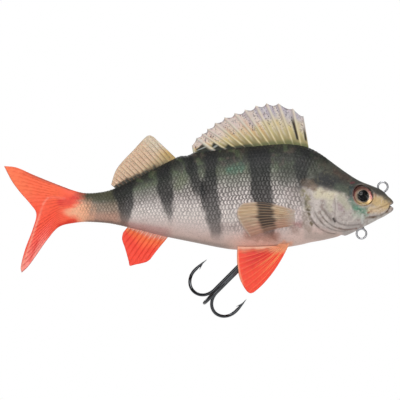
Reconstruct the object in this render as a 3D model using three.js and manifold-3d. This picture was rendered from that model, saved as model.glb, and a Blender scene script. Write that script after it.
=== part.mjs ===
// A soft-bodied perch swimbait, in millimetres: +X towards the nose, +Y to the fish's left, +Z up.
// The origin is the centre of the line tie's eye, which is what holds the lure in use.
// Inside, sizes are given as "back", the distance behind the nose tip, and as heights over the body's
// axis. The soft body is one casting on the real lure. Here it is split where it bends.
import * as THREE from "three";
import { mergeVertices } from "three/addons/utils/BufferGeometryUtils.js";
import Module from "manifold-3d";

const wasm = await Module();
wasm.setup();

// Clearances
const fitGap = 0.3; // round a piece that sits in a pocket, slot or channel
const stackGap = 0.15; // between the flat faces of the eye's layers
const bendGap = 0.3; // left between two soft sections at the limit of a bend

// Soft body: back, top, bottom, half width, height of the widest point
const bodyOutline = [
  [0.0, 2.9, -1.7, 1.5, 0.7],
  [0.6, 3.7, -2.3, 2.5, 0.7],
  [1.8, 4.7, -2.9, 3.3, 0.8],
  [4.1, 7.1, -4.3, 4.5, 1.0],
  [6.1, 8.4, -5.3, 5.3, 1.1],
  [9.2, 9.7, -7.1, 6.4, 1.2],
  [15.8, 12.4, -10.3, 8.1, 1.2],
  [22.4, 16.6, -12.9, 9.6, 1.4],
  [32.0, 23.6, -15.3, 11.3, 1.6],
  [37.6, 26.9, -16.3, 12.0, 1.8],
  [43.1, 28.6, -17.6, 12.4, 2.0],
  [51.5, 29.1, -18.9, 12.6, 2.3],
  [68.0, 27.7, -19.8, 12.1, 2.6],
  [76.4, 26.9, -19.4, 11.5, 2.7],
  [93.0, 25.2, -16.2, 9.7, 2.6],
  [98.5, 23.6, -15.1, 9.0, 2.4],
  [107.0, 19.4, -13.3, 7.7, 2.0],
  [118.0, 13.7, -10.5, 6.0, 1.2],
  [129.1, 8.4, -7.9, 4.5, 0.4],
  [134.7, 6.9, -7.2, 3.9, 0.0],
  [143.0, 6.5, -6.9, 3.1, -0.2],
  [151.0, 8.7, -7.9, 2.3, 0.0],
];
const backFullness = 1.8; // exponent of the section above its widest point: under 2 is a ridge
const bellyFullness = 2.2; // and below it: over 2 is a full belly
const noseRound = 0.5; // how far the lips round over before the nose tip
const mouthOpening = 1.1; // the gap between the lips at the front
const mouthDepth = 6.0; // how far back the mouth is cut
const mouthHeight = 0.7; // of the lips' meeting line at the front
const mouthFall = 1.6; // how far that line drops over the mouth's depth

// Bends of the soft body: each turns about an upright axis at this distance behind the nose tip
const bodyBendBack = 96.1;
const bodyBendLimit = 20; // degrees to each side
const peduncleBendBack = 132.0;
const peduncleBendLimit = 30;
const tailBendBack = 149.0;
const tailBendLimit = 30;

// Fins, all of the same casting stock
const finTab = 3.0; // how deep a fin's root sits in its slot
const finRootThickness = 1.6;
const finEdgeThickness = 0.9;
const finRib = 0.35; // how much thicker the sheet is at a ray
const spineScallop = 0.075; // share of a spine's length by which the membrane sags between two tips
const softRayCount = 14;
const analRayCount = 10;
const pairedRayCount = 9;
const tailRayCount = 16;

// First dorsal fin: root ends, and the tip of each spine as back and height
const firstDorsalFront = 38.8;
const firstDorsalRear = 92.0;
const spineTips = [
  [41.3, 42.3],
  [46.2, 45.6],
  [52.9, 48.1],
  [58.5, 48.2],
  [63.4, 47.1],
  [68.4, 45.2],
  [73.2, 43.6],
  [77.9, 41.6],
  [82.4, 39.0],
  [85.9, 36.3],
  [88.4, 34.0],
  [90.9, 32.0],
  [93.0, 28.4],
];

// Second dorsal fin
const secondDorsalFront = 100.4;
const secondDorsalRear = 128.4;
const secondDorsalMargin = [
  [110.7, 32.5],
  [112.6, 33.2],
  [114.9, 31.9],
  [120.3, 26.1],
  [125.3, 20.9],
  [128.4, 16.5],
  [130.4, 10.3],
];

// Anal fin
const analFront = 104.0;
const analRear = 122.8;
const analLeadingEdge = [
  [108.8, -19.7],
];
const analMargin = [
  [112.3, -24.3],
  [114.4, -25.6],
  [119.6, -26.8],
  [121.7, -27.2],
  [122.3, -25.0],
  [123.9, -19.2],
  [125.3, -15.0],
  [124.9, -11.9],
];

// Pelvic fins: one each side of the hook
const pelvicFront = 47.9;
const pelvicRear = 53.4;
const pelvicHalfSpacing = 5.2; // from the middle plane to the root
const pelvicFlare = 16; // degrees outwards from upright
const pelvicLeadingEdge = [
  [51.8, -24.3],
  [56.2, -30.8],
  [60.8, -36.0],
];
const pelvicMargin = [
  [64.6, -39.2],
  [66.4, -39.5],
  [68.4, -37.7],
  [70.7, -33.2],
  [71.9, -26.2],
];
const pelvicTrailingBack = 71.9;
const pelvicTrailingDrop = 0.9; // of the fin's upper edge below the belly beside it

// Pectoral fins, laid back along the flanks
const pectoralRootBack = 44.2;
const pectoralRootTop = -1.8;
const pectoralRootBottom = -8.3;
const pectoralThickness = 0.7;
const pectoralTabLength = 1.4; // along the body
const pectoralTabDepth = 2.4; // into the flank
const pectoralUpperEdge = [
  [50.8, 0.2],
  [56.6, 1.6],
  [63.5, 2.3],
];
const pectoralMargin = [
  [69.4, 1.8],
  [71.6, -0.3],
  [72.3, -3.2],
  [71.0, -7.0],
  [68.6, -10.6],
  [66.2, -13.7],
];
const pectoralLowerEdge = [
  [54.0, -9.9],
  [60.4, -11.7],
];

// Tail fin, from the end of the peduncle
const tailUpperEdge = [
  [159.2, 12.0],
  [166.7, 15.1],
  [174.1, 18.3],
];
const tailMargin = [
  [180.0, 19.0],
  [176.5, 12.2],
  [172.6, 6.9],
  [167.6, 1.2],
  [165.0, -3.2],
  [166.6, -10.0],
  [170.2, -19.7],
  [172.2, -27.5],
  [171.8, -30.4],
];
const tailLowerEdge = [
  [155.4, -10.2],
  [157.6, -12.4],
  [164.2, -21.2],
  [168.6, -27.3],
];
const tailEdgeThickness = 1.3;
const tailThinning = 11; // length over which the tail thins from the peduncle to a sheet
const tailFoldTop = [160.6, 4.6]; // upper end of the fold that makes the lower lobe a paddle
const tailFoldBottom = [171.4, -27.5];
const tailFoldAngle = 32; // degrees by which the strip behind the fold turns towards the right flank
const tailFoldFade = 14; // length over which the fold comes in below its upper end

// Eyes
const eyeBack = 13.8;
const eyeHeight = 5.6;
const eyeRadius = 4.6;
const pupilRadius = 2.2;
const eyeCupThickness = 0.8;
const pupilThickness = 0.35;
const eyeDomeRim = 0.5;
const eyeDomeRise = 1.5;
const eyeProud = 1.1; // how far the dome stands out of the head

// Through-wire harness: three closed eyes whose legs run into the ballast
const wireRadius = 0.45;
const eyeletRadius = 2.25; // to the middle of the wire
const legSpacing = 1.2; // between the two legs of one eye
const tieBack = 4.5;
const tieRise = 1.9; // of the eye's centre above the head
const chinBack = 14.4;
const chinDrop = 2.7; // of the eye's centre below the jaw
const hangerBack = 63.5;
const hangerDrop = 0.8;
const tieEntryHeight = -7.3; // where each pair of legs runs into the ballast
const chinEntryHeight = -10.2;
const hangerEntryHeight = -9.0;
const tieLegsBehind = 3.3; // of the eye's centre, where the legs are under the skin
const tieLegsDepth = 3.2; // under the top of the head there
const tieTurnBehind = 11.0; // of the eye's centre, where the legs turn towards the ballast
const tieTurnHeight = -1.6;
const chinLegsBehind = 0.4;
const chinLegsDepth = 2.4; // over the underside of the jaw
const chinTurnBehind = 3.6;
const chinTurnRise = 3.2; // over the height at which the legs enter the ballast
const hangerLegsAhead = 0.6;
const hangerLegsDepth = 3.4; // over the underside of the belly
const hangerTurnAhead = 3.6;
const hangerTurnDrop = 1.6; // under the height at which the legs enter the ballast
const legLead = 3.0; // length over which a pair of legs straightens on either side of the ballast's end
const legSettle = 0.5; // how much higher the legs are before that

// Ballast
const ballastFront = 28.0;
const ballastRear = 64.5;
const ballastHeight = -9.0;
const ballastRadius = 4.7;
const legGrip = 9.0; // length of leg that is cast into the ballast
const legEnd = 4.0; // straight end of the hanger's legs beyond that

// Split ring: two turns of flat wire
const ringRadius = 2.5; // to the middle of the wire
const ringWireDeep = 0.8; // across the ring's plane, from inside to outside
const ringWireWide = 0.5; // along the ring's axis
const ringTurnGap = 0.12;

// Treble hook: three round wires bent and brazed together
const hookWireRadius = 0.75;
const hookEyeRadius = 2.1; // to the middle of the wire
const hookBendRadius = 7.35;
const hookLength = 26.8; // from the eye's centre to the middle of the wire at the bend
const hookPointRise = 14.8; // height of the point over the bend
const hookPointTaper = 6.5;
const hookPointIn = 0.6; // how far the point leans towards the shank
const barbBehindPoint = 4.4; // from the point to the barb's tip
const barbLength = 2.2;
const barbWidth = 0.55;
const barbFootRadius = 0.42;
const barbTipRadius = 0.1;
const brazeGap = 0.1; // between the shanks
const linkGap = 0.2; // play where one eye or ring hangs in another
const hookSweep = 45; // degrees: the hook is stored swept back from straight down
const doubleHookTurns = [30, 150]; // degrees round the shank, the third hook pointing to the right
const singleHookTurn = 270;

// Mesh fineness
const bodySides = 28;
const roundSides = 24;
const wireSides = 8;
const barbSides = 6;
const bodyRingStep = 3.1; // between the rings of points along the body
const webRingStep = 1.5; // and along the webs that bend

const materials = {
  back: { color: 0x5d6156, roughness: 0.45, metalness: 0.1 },
  dorsal: { color: 0xcbb894, roughness: 0.5, metalness: 0 },
  orange: { color: 0xf0532f, roughness: 0.4, metalness: 0 },
  pectoral: { color: 0xb29a74, roughness: 0.45, metalness: 0 },
  iris: { color: 0xd8a05c, roughness: 0.3, metalness: 0.4 },
  pupil: { color: 0x111214, roughness: 0.2, metalness: 0 },
  dome: { color: 0xe9eef0, roughness: 0.05, metalness: 0 },
  wire: { color: 0xc4c6c8, roughness: 0.25, metalness: 1 },
  ballast: { color: 0x6a6c70, roughness: 0.7, metalness: 0.6 },
  hook: { color: 0x2b2d30, roughness: 0.3, metalness: 0.9 },
};

const rad = THREE.MathUtils.degToRad;

// Solids

function toSolid(geometry) {
  const bare = geometry.index ? geometry.toNonIndexed() : geometry.clone();
  bare.deleteAttribute("normal");
  bare.deleteAttribute("uv");
  const merged = mergeVertices(bare, 1e-4);
  return new wasm.Manifold(
    new wasm.Mesh({
      numProp: 3,
      vertProperties: merged.attributes.position.array,
      triVerts: new Uint32Array(merged.index.array),
    }),
  );
}

function toGeometry(solid) {
  const mesh = solid.getMesh();
  const geometry = new THREE.BufferGeometry();
  const positions = new Float32Array(mesh.numVert * 3);
  for (let i = 0; i < mesh.numVert; i++) {
    positions.set(mesh.vertProperties.subarray(i * mesh.numProp, i * mesh.numProp + 3), i * 3);
  }
  geometry.setAttribute("position", new THREE.BufferAttribute(positions, 3));
  geometry.setIndex(new THREE.BufferAttribute(mesh.triVerts, 1));
  const faceted = geometry.toNonIndexed();
  faceted.computeVertexNormals();
  return faceted;
}

function cut(geometry, cutters) {
  return toGeometry(cutters.reduce((solid, cutter) => solid.subtract(toSolid(cutter)), toSolid(geometry)));
}

function join(geometries) {
  return toGeometry(geometries.map(toSolid).reduce((whole, solid) => whole.add(solid)));
}

// A closed surface from a list of points and faces, turned so that it faces out.
function closedGeometry(points, faces) {
  let volume = 0;
  for (const [a, b, c] of faces) {
    volume += points[a].dot(new THREE.Vector3().crossVectors(points[b], points[c]));
  }
  const ordered = volume < 0 ? faces.map(([a, b, c]) => [a, c, b]) : faces;
  const geometry = new THREE.BufferGeometry().setFromPoints(points);
  geometry.setIndex(ordered.flat());
  geometry.computeVertexNormals();
  return geometry;
}

// Rings of points skinned one to the next, with a fan over each end.
function skinRings(rings, endPoints) {
  const sides = rings[0].length;
  const points = rings.flat();
  const faces = [];
  for (let i = 0; i < rings.length - 1; i++) {
    for (let j = 0; j < sides; j++) {
      const a = i * sides + j;
      const b = i * sides + ((j + 1) % sides);
      faces.push([a, b, b + sides], [a, b + sides, a + sides]);
    }
  }
  const last = (rings.length - 1) * sides;
  points.push(endPoints[0], endPoints[1]);
  for (let j = 0; j < sides; j++) {
    const next = (j + 1) % sides;
    faces.push([points.length - 2, next, j], [points.length - 1, last + j, last + next]);
  }
  return closedGeometry(points, faces);
}

// A sheet between two grids of points, near(column, row) and far(column, row), closed round its rim.
function sheetSolid(columns, rows, near, far) {
  const points = [];
  const index = (side, i, j) => (side * (rows + 1) + j) * (columns + 1) + i;
  for (const side of [near, far]) {
    for (let j = 0; j <= rows; j++) {
      for (let i = 0; i <= columns; i++) {
        points.push(side(i, j));
      }
    }
  }
  const faces = [];
  const quad = (a, b, c, d) => faces.push([a, b, c], [a, c, d]);
  for (let j = 0; j < rows; j++) {
    for (let i = 0; i < columns; i++) {
      quad(index(0, i, j), index(0, i + 1, j), index(0, i + 1, j + 1), index(0, i, j + 1));
      quad(index(1, i, j), index(1, i, j + 1), index(1, i + 1, j + 1), index(1, i + 1, j));
    }
  }
  for (let i = 0; i < columns; i++) {
    quad(index(0, i, 0), index(1, i, 0), index(1, i + 1, 0), index(0, i + 1, 0));
    quad(index(0, i, rows), index(0, i + 1, rows), index(1, i + 1, rows), index(1, i, rows));
  }
  for (let j = 0; j < rows; j++) {
    quad(index(0, 0, j), index(0, 0, j + 1), index(1, 0, j + 1), index(1, 0, j));
    quad(index(0, columns, j), index(1, columns, j), index(1, columns, j + 1), index(0, columns, j + 1));
  }
  return closedGeometry(points, faces);
}

// A round bar along a list of points. radiusAt(share of the length) sets its thickness.
function bar(path, radiusAt, sides = wireSides) {
  const rings = [];
  const normal = new THREE.Vector3();
  path.forEach((point, i) => {
    const before = path[Math.max(0, i - 1)];
    const after = path[Math.min(path.length - 1, i + 1)];
    const tangent = new THREE.Vector3().subVectors(after, before).normalize();
    if (i === 0) {
      normal.set(0, 1, 0);
      if (Math.abs(tangent.y) > 0.9) normal.set(1, 0, 0);
    }
    normal.addScaledVector(tangent, -normal.dot(tangent)).normalize();
    const binormal = new THREE.Vector3().crossVectors(tangent, normal);
    const radius = radiusAt(i / (path.length - 1));
    const ring = [];
    for (let j = 0; j < sides; j++) {
      const angle = (2 * Math.PI * (j + 0.5)) / sides;
      ring.push(
        point
          .clone()
          .addScaledVector(normal, radius * Math.cos(angle))
          .addScaledVector(binormal, radius * Math.sin(angle)),
      );
    }
    rings.push(ring);
  });
  return skinRings(rings, [path[0].clone(), path[path.length - 1].clone()]);
}

function smoothPath(points, steps) {
  return new THREE.CatmullRomCurve3(points, false, "centripetal").getSpacedPoints(steps);
}

// Shape of the soft body

// One column of the outline at a distance behind the nose tip, as a smooth curve through its rows.
function outlineAt(back, column) {
  const rows = bodyOutline;
  const slope = (i) => {
    const a = rows[Math.max(0, i - 1)];
    const b = rows[Math.min(rows.length - 1, i + 1)];
    return (b[column] - a[column]) / (b[0] - a[0]);
  };
  let i = 0;
  while (i < rows.length - 2 && back > rows[i + 1][0]) i++;
  const [from, to] = [rows[i], rows[i + 1]];
  const span = to[0] - from[0];
  const t = (back - from[0]) / span;
  const [t2, t3] = [t * t, t * t * t];
  return (
    (2 * t3 - 3 * t2 + 1) * from[column] +
    (t3 - 2 * t2 + t) * span * slope(i) +
    (3 * t2 - 2 * t3) * to[column] +
    (t3 - t2) * span * slope(i + 1)
  );
}

const topAt = (back) => outlineAt(back, 1);
const bottomAt = (back) => outlineAt(back, 2);
const halfWidthAt = (back) => outlineAt(back, 3);
const widestAt = (back) => outlineAt(back, 4);

// A point of the body's surface. angle is 0 at the left flank and a quarter turn at the back ridge.
function skinPoint(back, angle) {
  const [c, s] = [Math.cos(angle), Math.sin(angle)];
  const power = 2 / (s > 0 ? backFullness : bellyFullness);
  const reach = s > 0 ? topAt(back) - widestAt(back) : widestAt(back) - bottomAt(back);
  return new THREE.Vector3(
    -back,
    halfWidthAt(back) * Math.sign(c) * Math.abs(c) ** power,
    widestAt(back) + reach * Math.sign(s) * Math.abs(s) ** power,
  );
}

// Half the body's width at a height, and the height of its underside at a distance from the middle.
function flankAt(back, height) {
  const above = height > widestAt(back);
  const power = above ? backFullness : bellyFullness;
  const reach = above ? topAt(back) - widestAt(back) : bottomAt(back) - widestAt(back);
  const share = Math.min(1, Math.abs((height - widestAt(back)) / reach));
  return halfWidthAt(back) * (1 - share ** power) ** (1 / power);
}

function undersideAt(back, side) {
  const share = Math.min(1, Math.abs(side) / halfWidthAt(back));
  const reach = widestAt(back) - bottomAt(back);
  return widestAt(back) - reach * (1 - share ** bellyFullness) ** (1 / bellyFullness);
}

function bodySection(fromBack, toBack, stepLength) {
  const steps = Math.max(1, Math.round((toBack - fromBack) / stepLength));
  const rings = [];
  for (let i = 0; i <= steps; i++) {
    // Rings lie closer together towards the nose, where the outline turns fastest.
    const share = i / steps;
    const back = fromBack === 0 ? toBack * share ** 1.5 : fromBack + (toBack - fromBack) * share;
    const ring = [];
    for (let j = 0; j < bodySides; j++) {
      ring.push(skinPoint(back, (2 * Math.PI * j) / bodySides));
    }
    rings.push(ring);
  }
  const endPoint = (back, out) => new THREE.Vector3(-back + out, 0, widestAt(back));
  const noseOut = fromBack === 0 ? noseRound : 0;
  return skinRings(rings, [endPoint(fromBack, noseOut), endPoint(toBack, 0)]);
}

// Half the opening that a section needs, so that its far corners just clear at the bend's limit.
function bendOpening(back, limit) {
  return (halfWidthAt(back) * Math.sin(rad(limit)) + bendGap) / (1 + Math.cos(rad(limit)));
}

// Fins

const spline = (points) => new THREE.SplineCurve(points.map(([back, height]) => new THREE.Vector2(back, height)));

// A point between the four edges of a fin. across runs along the root, and out from root to margin.
function finPoint(edges, across, out) {
  const root = edges.root.getPoint(across);
  const margin = edges.endsOnTips ? edges.margin.getPoint(across) : edges.margin.getPointAt(across);
  const first = edges.first.getPointAt(out);
  const last = edges.last.getPointAt(out);
  const point = root.multiplyScalar(1 - out).addScaledVector(margin, out);
  point.addScaledVector(first, 1 - across).addScaledVector(last, across);
  const corners = [
    [edges.root.getPoint(0), (1 - across) * (1 - out)],
    [edges.root.getPoint(1), across * (1 - out)],
    [edges.margin.getPoint(0), (1 - across) * out],
    [edges.margin.getPoint(1), across * out],
  ];
  corners.forEach(([corner, share]) => point.addScaledVector(corner, -share));
  return point;
}

// The four edges of a fin from its root curve, margin and the points along its first and last edge.
function finEdges(root, marginPoints, firstPoints = [], lastPoints = []) {
  const ends = [root.getPoint(0), root.getPoint(1)].map((p) => [p.x, p.y]);
  return {
    root,
    margin: spline(marginPoints),
    first: spline([ends[0], ...firstPoints, marginPoints[0]]),
    last: spline([ends[1], ...lastPoints, marginPoints[marginPoints.length - 1]]),
  };
}

// A ribbed sheet over a fin's edges, with a tab below its root. away is 1 for a fin that stands up
// from its root and -1 for one that hangs, and place(back, height, offset) puts a point in space.
function ribbedFin({ edges, rays, rows, away, place, scallop = 0 }) {
  const columns = (rays - 1) * 2;
  const firstOut = 2; // rows 0 and 1 are the tab's foot and the root line
  const side = (sign) => (i, j) => {
    const across = i / columns;
    const onRay = i % 2 === 0;
    if (j < firstOut) {
      const root = edges.root.getPoint(across);
      const height = root.y - (j === 0 ? away * finTab : 0);
      return place(root.x, height, (sign * finRootThickness) / 2);
    }
    const out = (j - 1) / (rows - 1);
    const reach = onRay ? out : out * (1 - scallop);
    const point = finPoint(edges, across, reach);
    const thickness =
      THREE.MathUtils.lerp(finRootThickness, finEdgeThickness, out) + (onRay ? finRib * (1 - out) : 0);
    return place(point.x, point.y, (sign * thickness) / 2);
  };
  return sheetSolid(columns, rows, side(1), side(-1));
}

// The slot that a fin's tab sits in, cut a little past the tab on every side.
function finSlot({ edges, away, place }) {
  const columns = 12;
  const above = 2.5;
  const side = (sign) => (i, j) => {
    const root = edges.root.getPoint(i / columns);
    const end = i === 0 ? -1 : i === columns ? 1 : 0;
    const height = root.y + away * (j === 0 ? -(finTab + fitGap) : above);
    return place(root.x + end * fitGap, height, sign * (finRootThickness / 2 + fitGap));
  };
  return sheetSolid(columns, 1, side(1), side(-1));
}

const upright = (back, height, offset) => new THREE.Vector3(-back, offset, height);

// A root curve that follows the body's ridge or belly.
function rootLine(front, rear, heightAt) {
  const points = [];
  const steps = 8;
  for (let i = 0; i <= steps; i++) {
    const back = front + ((rear - front) * i) / steps;
    points.push([back, heightAt(back)]);
  }
  return spline(points);
}

function firstDorsalSpec() {
  const root = rootLine(firstDorsalFront, firstDorsalRear, topAt);
  const edges = { ...finEdges(root, spineTips), endsOnTips: true };
  return { edges, rays: spineTips.length, rows: 5, away: 1, place: upright, scallop: spineScallop };
}

function secondDorsalSpec() {
  const root = rootLine(secondDorsalFront, secondDorsalRear, topAt);
  return { edges: finEdges(root, secondDorsalMargin), rays: softRayCount, rows: 4, away: 1, place: upright };
}

function analSpec() {
  const root = rootLine(analFront, analRear, bottomAt);
  const edges = finEdges(root, analMargin, analLeadingEdge);
  return { edges, rays: analRayCount, rows: 5, away: -1, place: upright };
}

function pelvicSpec(side) {
  const beside = (back) => undersideAt(back, pelvicHalfSpacing);
  const root = rootLine(pelvicFront, pelvicRear, beside);
  const trailing = [pelvicTrailingBack, beside(pelvicTrailingBack) - pelvicTrailingDrop];
  const upper = [pelvicRear + 1, (pelvicRear + pelvicTrailingBack) / 2].map((back) => [
    back,
    beside(back) - pelvicTrailingDrop,
  ]);
  const edges = finEdges(root, [...pelvicMargin, trailing], pelvicLeadingEdge, upper);
  const rootHeight = beside(pelvicFront);
  const place = (back, height, offset) =>
    new THREE.Vector3(
      -back,
      side * (pelvicHalfSpacing + (rootHeight - height) * Math.tan(rad(pelvicFlare)) + offset),
      height,
    );
  return { edges, rays: pairedRayCount, rows: 6, away: -1, place };
}

function pectoralTab(side, grow) {
  const [length, height] = [pectoralTabLength + 2 * grow, pectoralRootTop - pectoralRootBottom + 2 * grow];
  const middle = (pectoralRootTop + pectoralRootBottom) / 2;
  const back = pectoralRootBack + pectoralTabLength / 2;
  const outer = flankAt(back, middle) + fitGap + pectoralThickness / 2 + (grow > 0 ? 2 : 0);
  const inner = flankAt(back, middle) - pectoralTabDepth - grow;
  const tab = new THREE.BoxGeometry(length, outer - inner, height);
  return tab.translate(-back, (side * (outer + inner)) / 2, middle);
}

function pectoralFin(side) {
  const root = spline([
    [pectoralRootBack, pectoralRootTop],
    [pectoralRootBack, pectoralRootBottom],
  ]);
  const edges = finEdges(root, pectoralMargin, pectoralUpperEdge, pectoralLowerEdge);
  const [columns, rows] = [(pairedRayCount - 1) * 2, 6];
  const face = (outer) => (i, j) => {
    const out = j / rows;
    const point = finPoint(edges, i / columns, out);
    const rib = outer && i % 2 === 0 && j > 0 ? finRib * (1 - out) : 0;
    const offset = fitGap + (outer ? pectoralThickness + rib : 0);
    return new THREE.Vector3(-point.x, side * (flankAt(point.x, point.y) + offset), point.y);
  };
  return join([sheetSolid(columns, rows, face(false), face(true)), pectoralTab(side, 0)]);
}

// The tail fin: its front face matches the peduncle's section, and a strip behind the fold is turned.
function tailFin(frontBack) {
  const height = (across) => THREE.MathUtils.lerp(topAt(frontBack), bottomAt(frontBack), across);
  const root = spline([
    [frontBack, height(0)],
    [frontBack, height(1)],
  ]);
  const edges = finEdges(root, tailMargin, tailUpperEdge, tailLowerEdge);
  const fold = new THREE.Vector2(tailFoldBottom[0] - tailFoldTop[0], tailFoldBottom[1] - tailFoldTop[1]);
  const along = fold.normalize();
  const behind = new THREE.Vector2(-along.y, along.x);
  const turned = (point) => {
    const offset = new THREE.Vector2(point.x - tailFoldTop[0], point.y - tailFoldTop[1]);
    const comesIn = THREE.MathUtils.smoothstep(offset.dot(along), 0, tailFoldFade);
    return -Math.max(0, offset.dot(behind)) * Math.tan(rad(tailFoldAngle)) * comesIn;
  };
  const [columns, rows] = [(tailRayCount - 1) * 2, 10];
  const face = (sign) => (i, j) => {
    const [across, out] = [i / columns, j / rows];
    const point = finPoint(edges, across, out);
    const thin = THREE.MathUtils.smoothstep(point.x - frontBack, 0, tailThinning);
    const rootHalf = Math.max(tailEdgeThickness / 4, flankAt(frontBack, height(across)));
    const rib = i % 2 === 0 && j > 0 ? (finRib / 2) * (1 - out) : 0;
    const half = THREE.MathUtils.lerp(rootHalf, tailEdgeThickness / 2, thin) + rib;
    return new THREE.Vector3(-point.x, sign * half + turned(point), point.y);
  };
  return sheetSolid(columns, rows, face(1), face(-1));
}

// Eyes

// Places a group on the flank, with its own +Z pointing straight out of the skin.
function onFlank(back, height, side) {
  const step = 0.5;
  const alongSlope = (flankAt(back + step, height) - flankAt(back - step, height)) / (2 * step);
  const upSlope = (flankAt(back, height + step) - flankAt(back, height - step)) / (2 * step);
  const out = new THREE.Vector3(alongSlope, side, -upSlope).normalize();
  const group = new THREE.Group();
  group.position.set(-back, side * flankAt(back, height), height);
  group.quaternion.setFromUnitVectors(new THREE.Vector3(0, 0, 1), out);
  group.updateMatrix();
  return group;
}

const eyeDomeBase = eyeProud - eyeDomeRise - eyeDomeRim;
const pupilBase = eyeDomeBase - stackGap - pupilThickness;
const eyeCupBase = pupilBase - stackGap - eyeCupThickness;

function disc(radius, base, thickness) {
  const geometry = new THREE.CylinderGeometry(radius, radius, thickness, roundSides);
  return geometry.rotateX(Math.PI / 2).translate(0, 0, base + thickness / 2);
}

function eyeDome() {
  const sphere = (eyeRadius ** 2 + eyeDomeRise ** 2) / (2 * eyeDomeRise);
  const opening = Math.asin(Math.min(1, eyeRadius / sphere));
  const rings = 5;
  const profile = [new THREE.Vector2(0, 0), new THREE.Vector2(eyeRadius, 0)];
  for (let i = 0; i < rings; i++) {
    const angle = opening * (1 - i / rings);
    const height = eyeDomeRim + sphere * (Math.cos(angle) - Math.cos(opening));
    profile.push(new THREE.Vector2(sphere * Math.sin(angle), height));
  }
  profile.push(new THREE.Vector2(0, eyeDomeRim + eyeDomeRise));
  return new THREE.LatheGeometry(profile, roundSides).rotateX(Math.PI / 2).translate(0, 0, eyeDomeBase);
}

function eyeSocket(side) {
  const depth = fitGap - eyeCupBase;
  const clear = 3; // past the skin, so that the socket opens cleanly
  const socket = disc(eyeRadius + fitGap, -depth, depth + clear);
  return socket.applyMatrix4(onFlank(eyeBack, eyeHeight, side).matrix);
}

// Harness and ballast

const tieCentre = new THREE.Vector3(-tieBack, 0, topAt(tieBack) + tieRise);
const chinCentre = new THREE.Vector3(-chinBack, 0, bottomAt(chinBack) - chinDrop);
const hangerCentre = new THREE.Vector3(-hangerBack, 0, bottomAt(hangerBack) - hangerDrop);

// A closed eye in the body's middle plane, with two legs along the given points. The first point of
// each leg is given as an angle round the eye, in degrees from the nose end, so that the leg starts in it.
function wireEye(centre, legAngles, route, grow) {
  const eye = new THREE.TorusGeometry(eyeletRadius, wireRadius + grow, wireSides, roundSides);
  eye.rotateX(Math.PI / 2).translate(centre.x, centre.y, centre.z);
  const legs = legAngles.map((degrees, i) => {
    const aside = ((i === 0 ? 1 : -1) * legSpacing) / 2;
    const start = new THREE.Vector3(
      centre.x + eyeletRadius * Math.cos(rad(degrees)),
      0,
      centre.z + eyeletRadius * Math.sin(rad(degrees)),
    );
    const rest = route.map(([back, height], k) => new THREE.Vector3(-back, k === 0 ? aside / 2 : aside, height));
    return bar(smoothPath([start, ...rest], 16), () => wireRadius + grow);
  });
  return join([eye, ...legs]);
}

const ballastMiddle = (ballastFront + ballastRear) / 2;

function tieWire(grow) {
  const route = [
    [tieBack + tieLegsBehind, topAt(tieBack) - tieLegsDepth],
    [tieBack + tieTurnBehind, tieTurnHeight],
    [ballastFront - legLead, tieEntryHeight + legSettle],
    [ballastFront + legLead, tieEntryHeight],
    [ballastFront + legGrip, tieEntryHeight],
  ];
  return wireEye(tieCentre, [200, 305], route, grow);
}

function chinWire(grow) {
  const route = [
    [chinBack + chinLegsBehind, bottomAt(chinBack) + chinLegsDepth],
    [chinBack + chinTurnBehind, chinEntryHeight + chinTurnRise],
    [ballastFront - legLead, chinEntryHeight + legSettle],
    [ballastFront + legLead, chinEntryHeight],
    [ballastFront + legGrip, chinEntryHeight],
  ];
  return wireEye(chinCentre, [60, 120], route, grow);
}

function hangerWire(grow) {
  const route = [
    [hangerBack - hangerLegsAhead, bottomAt(hangerBack) + hangerLegsDepth],
    [hangerBack - hangerTurnAhead, hangerEntryHeight - hangerTurnDrop],
    [ballastRear - legGrip, hangerEntryHeight],
    [ballastRear - legGrip - legEnd, hangerEntryHeight],
  ];
  return wireEye(hangerCentre, [60, 120], route, grow);
}

function ballast(grow) {
  const half = (ballastRear - ballastFront) / 2 + grow;
  const rings = 10;
  const profile = [];
  for (let i = 0; i <= rings; i++) {
    const angle = (Math.PI * i) / rings;
    const radius = (ballastRadius + grow) * Math.sin(angle) ** 0.7;
    profile.push(new THREE.Vector2(i === 0 || i === rings ? 0 : radius, -half * Math.cos(angle)));
  }
  const geometry = new THREE.LatheGeometry(profile, roundSides);
  return geometry.rotateZ(Math.PI / 2).translate(-ballastMiddle, 0, ballastHeight);
}

// Mouth

function mouthCut() {
  const shape = new THREE.Shape();
  const ahead = 2;
  shape.moveTo(ahead, mouthHeight + mouthOpening / 2 + 0.4);
  shape.lineTo(-mouthDepth / 2, mouthHeight + mouthOpening / 5 - mouthFall / 2.5);
  shape.lineTo(-mouthDepth, mouthHeight - mouthFall);
  shape.lineTo(-mouthDepth / 2, mouthHeight - mouthOpening / 5 - mouthFall / 2.5);
  shape.lineTo(ahead, mouthHeight - mouthOpening / 2);
  shape.closePath();
  const width = 4 * halfWidthAt(mouthDepth);
  const geometry = new THREE.ExtrudeGeometry(shape, { depth: width, bevelEnabled: false });
  return geometry.rotateX(Math.PI / 2).translate(0, width / 2, 0);
}

// Split ring and treble hook

const sweptBack = new THREE.Vector3(-Math.sin(rad(hookSweep)), 0, -Math.cos(rad(hookSweep)));
const eyeletHole = eyeletRadius - wireRadius;
const hookEyeHole = hookEyeRadius - hookWireRadius;
const ringWide = 2 * ringWireWide + ringTurnGap;

// How far a ring's wire can lie from the centre of a round hole, with play left at its corners.
function seatIn(hole) {
  return Math.sqrt((hole - linkGap) ** 2 - (ringWide / 2) ** 2) - ringWireDeep / 2;
}

const ringCentre = hangerCentre.clone().addScaledVector(sweptBack, seatIn(eyeletHole) + ringRadius);
const hookCentre = ringCentre.clone().addScaledVector(sweptBack, ringRadius + seatIn(hookEyeHole));

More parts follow.
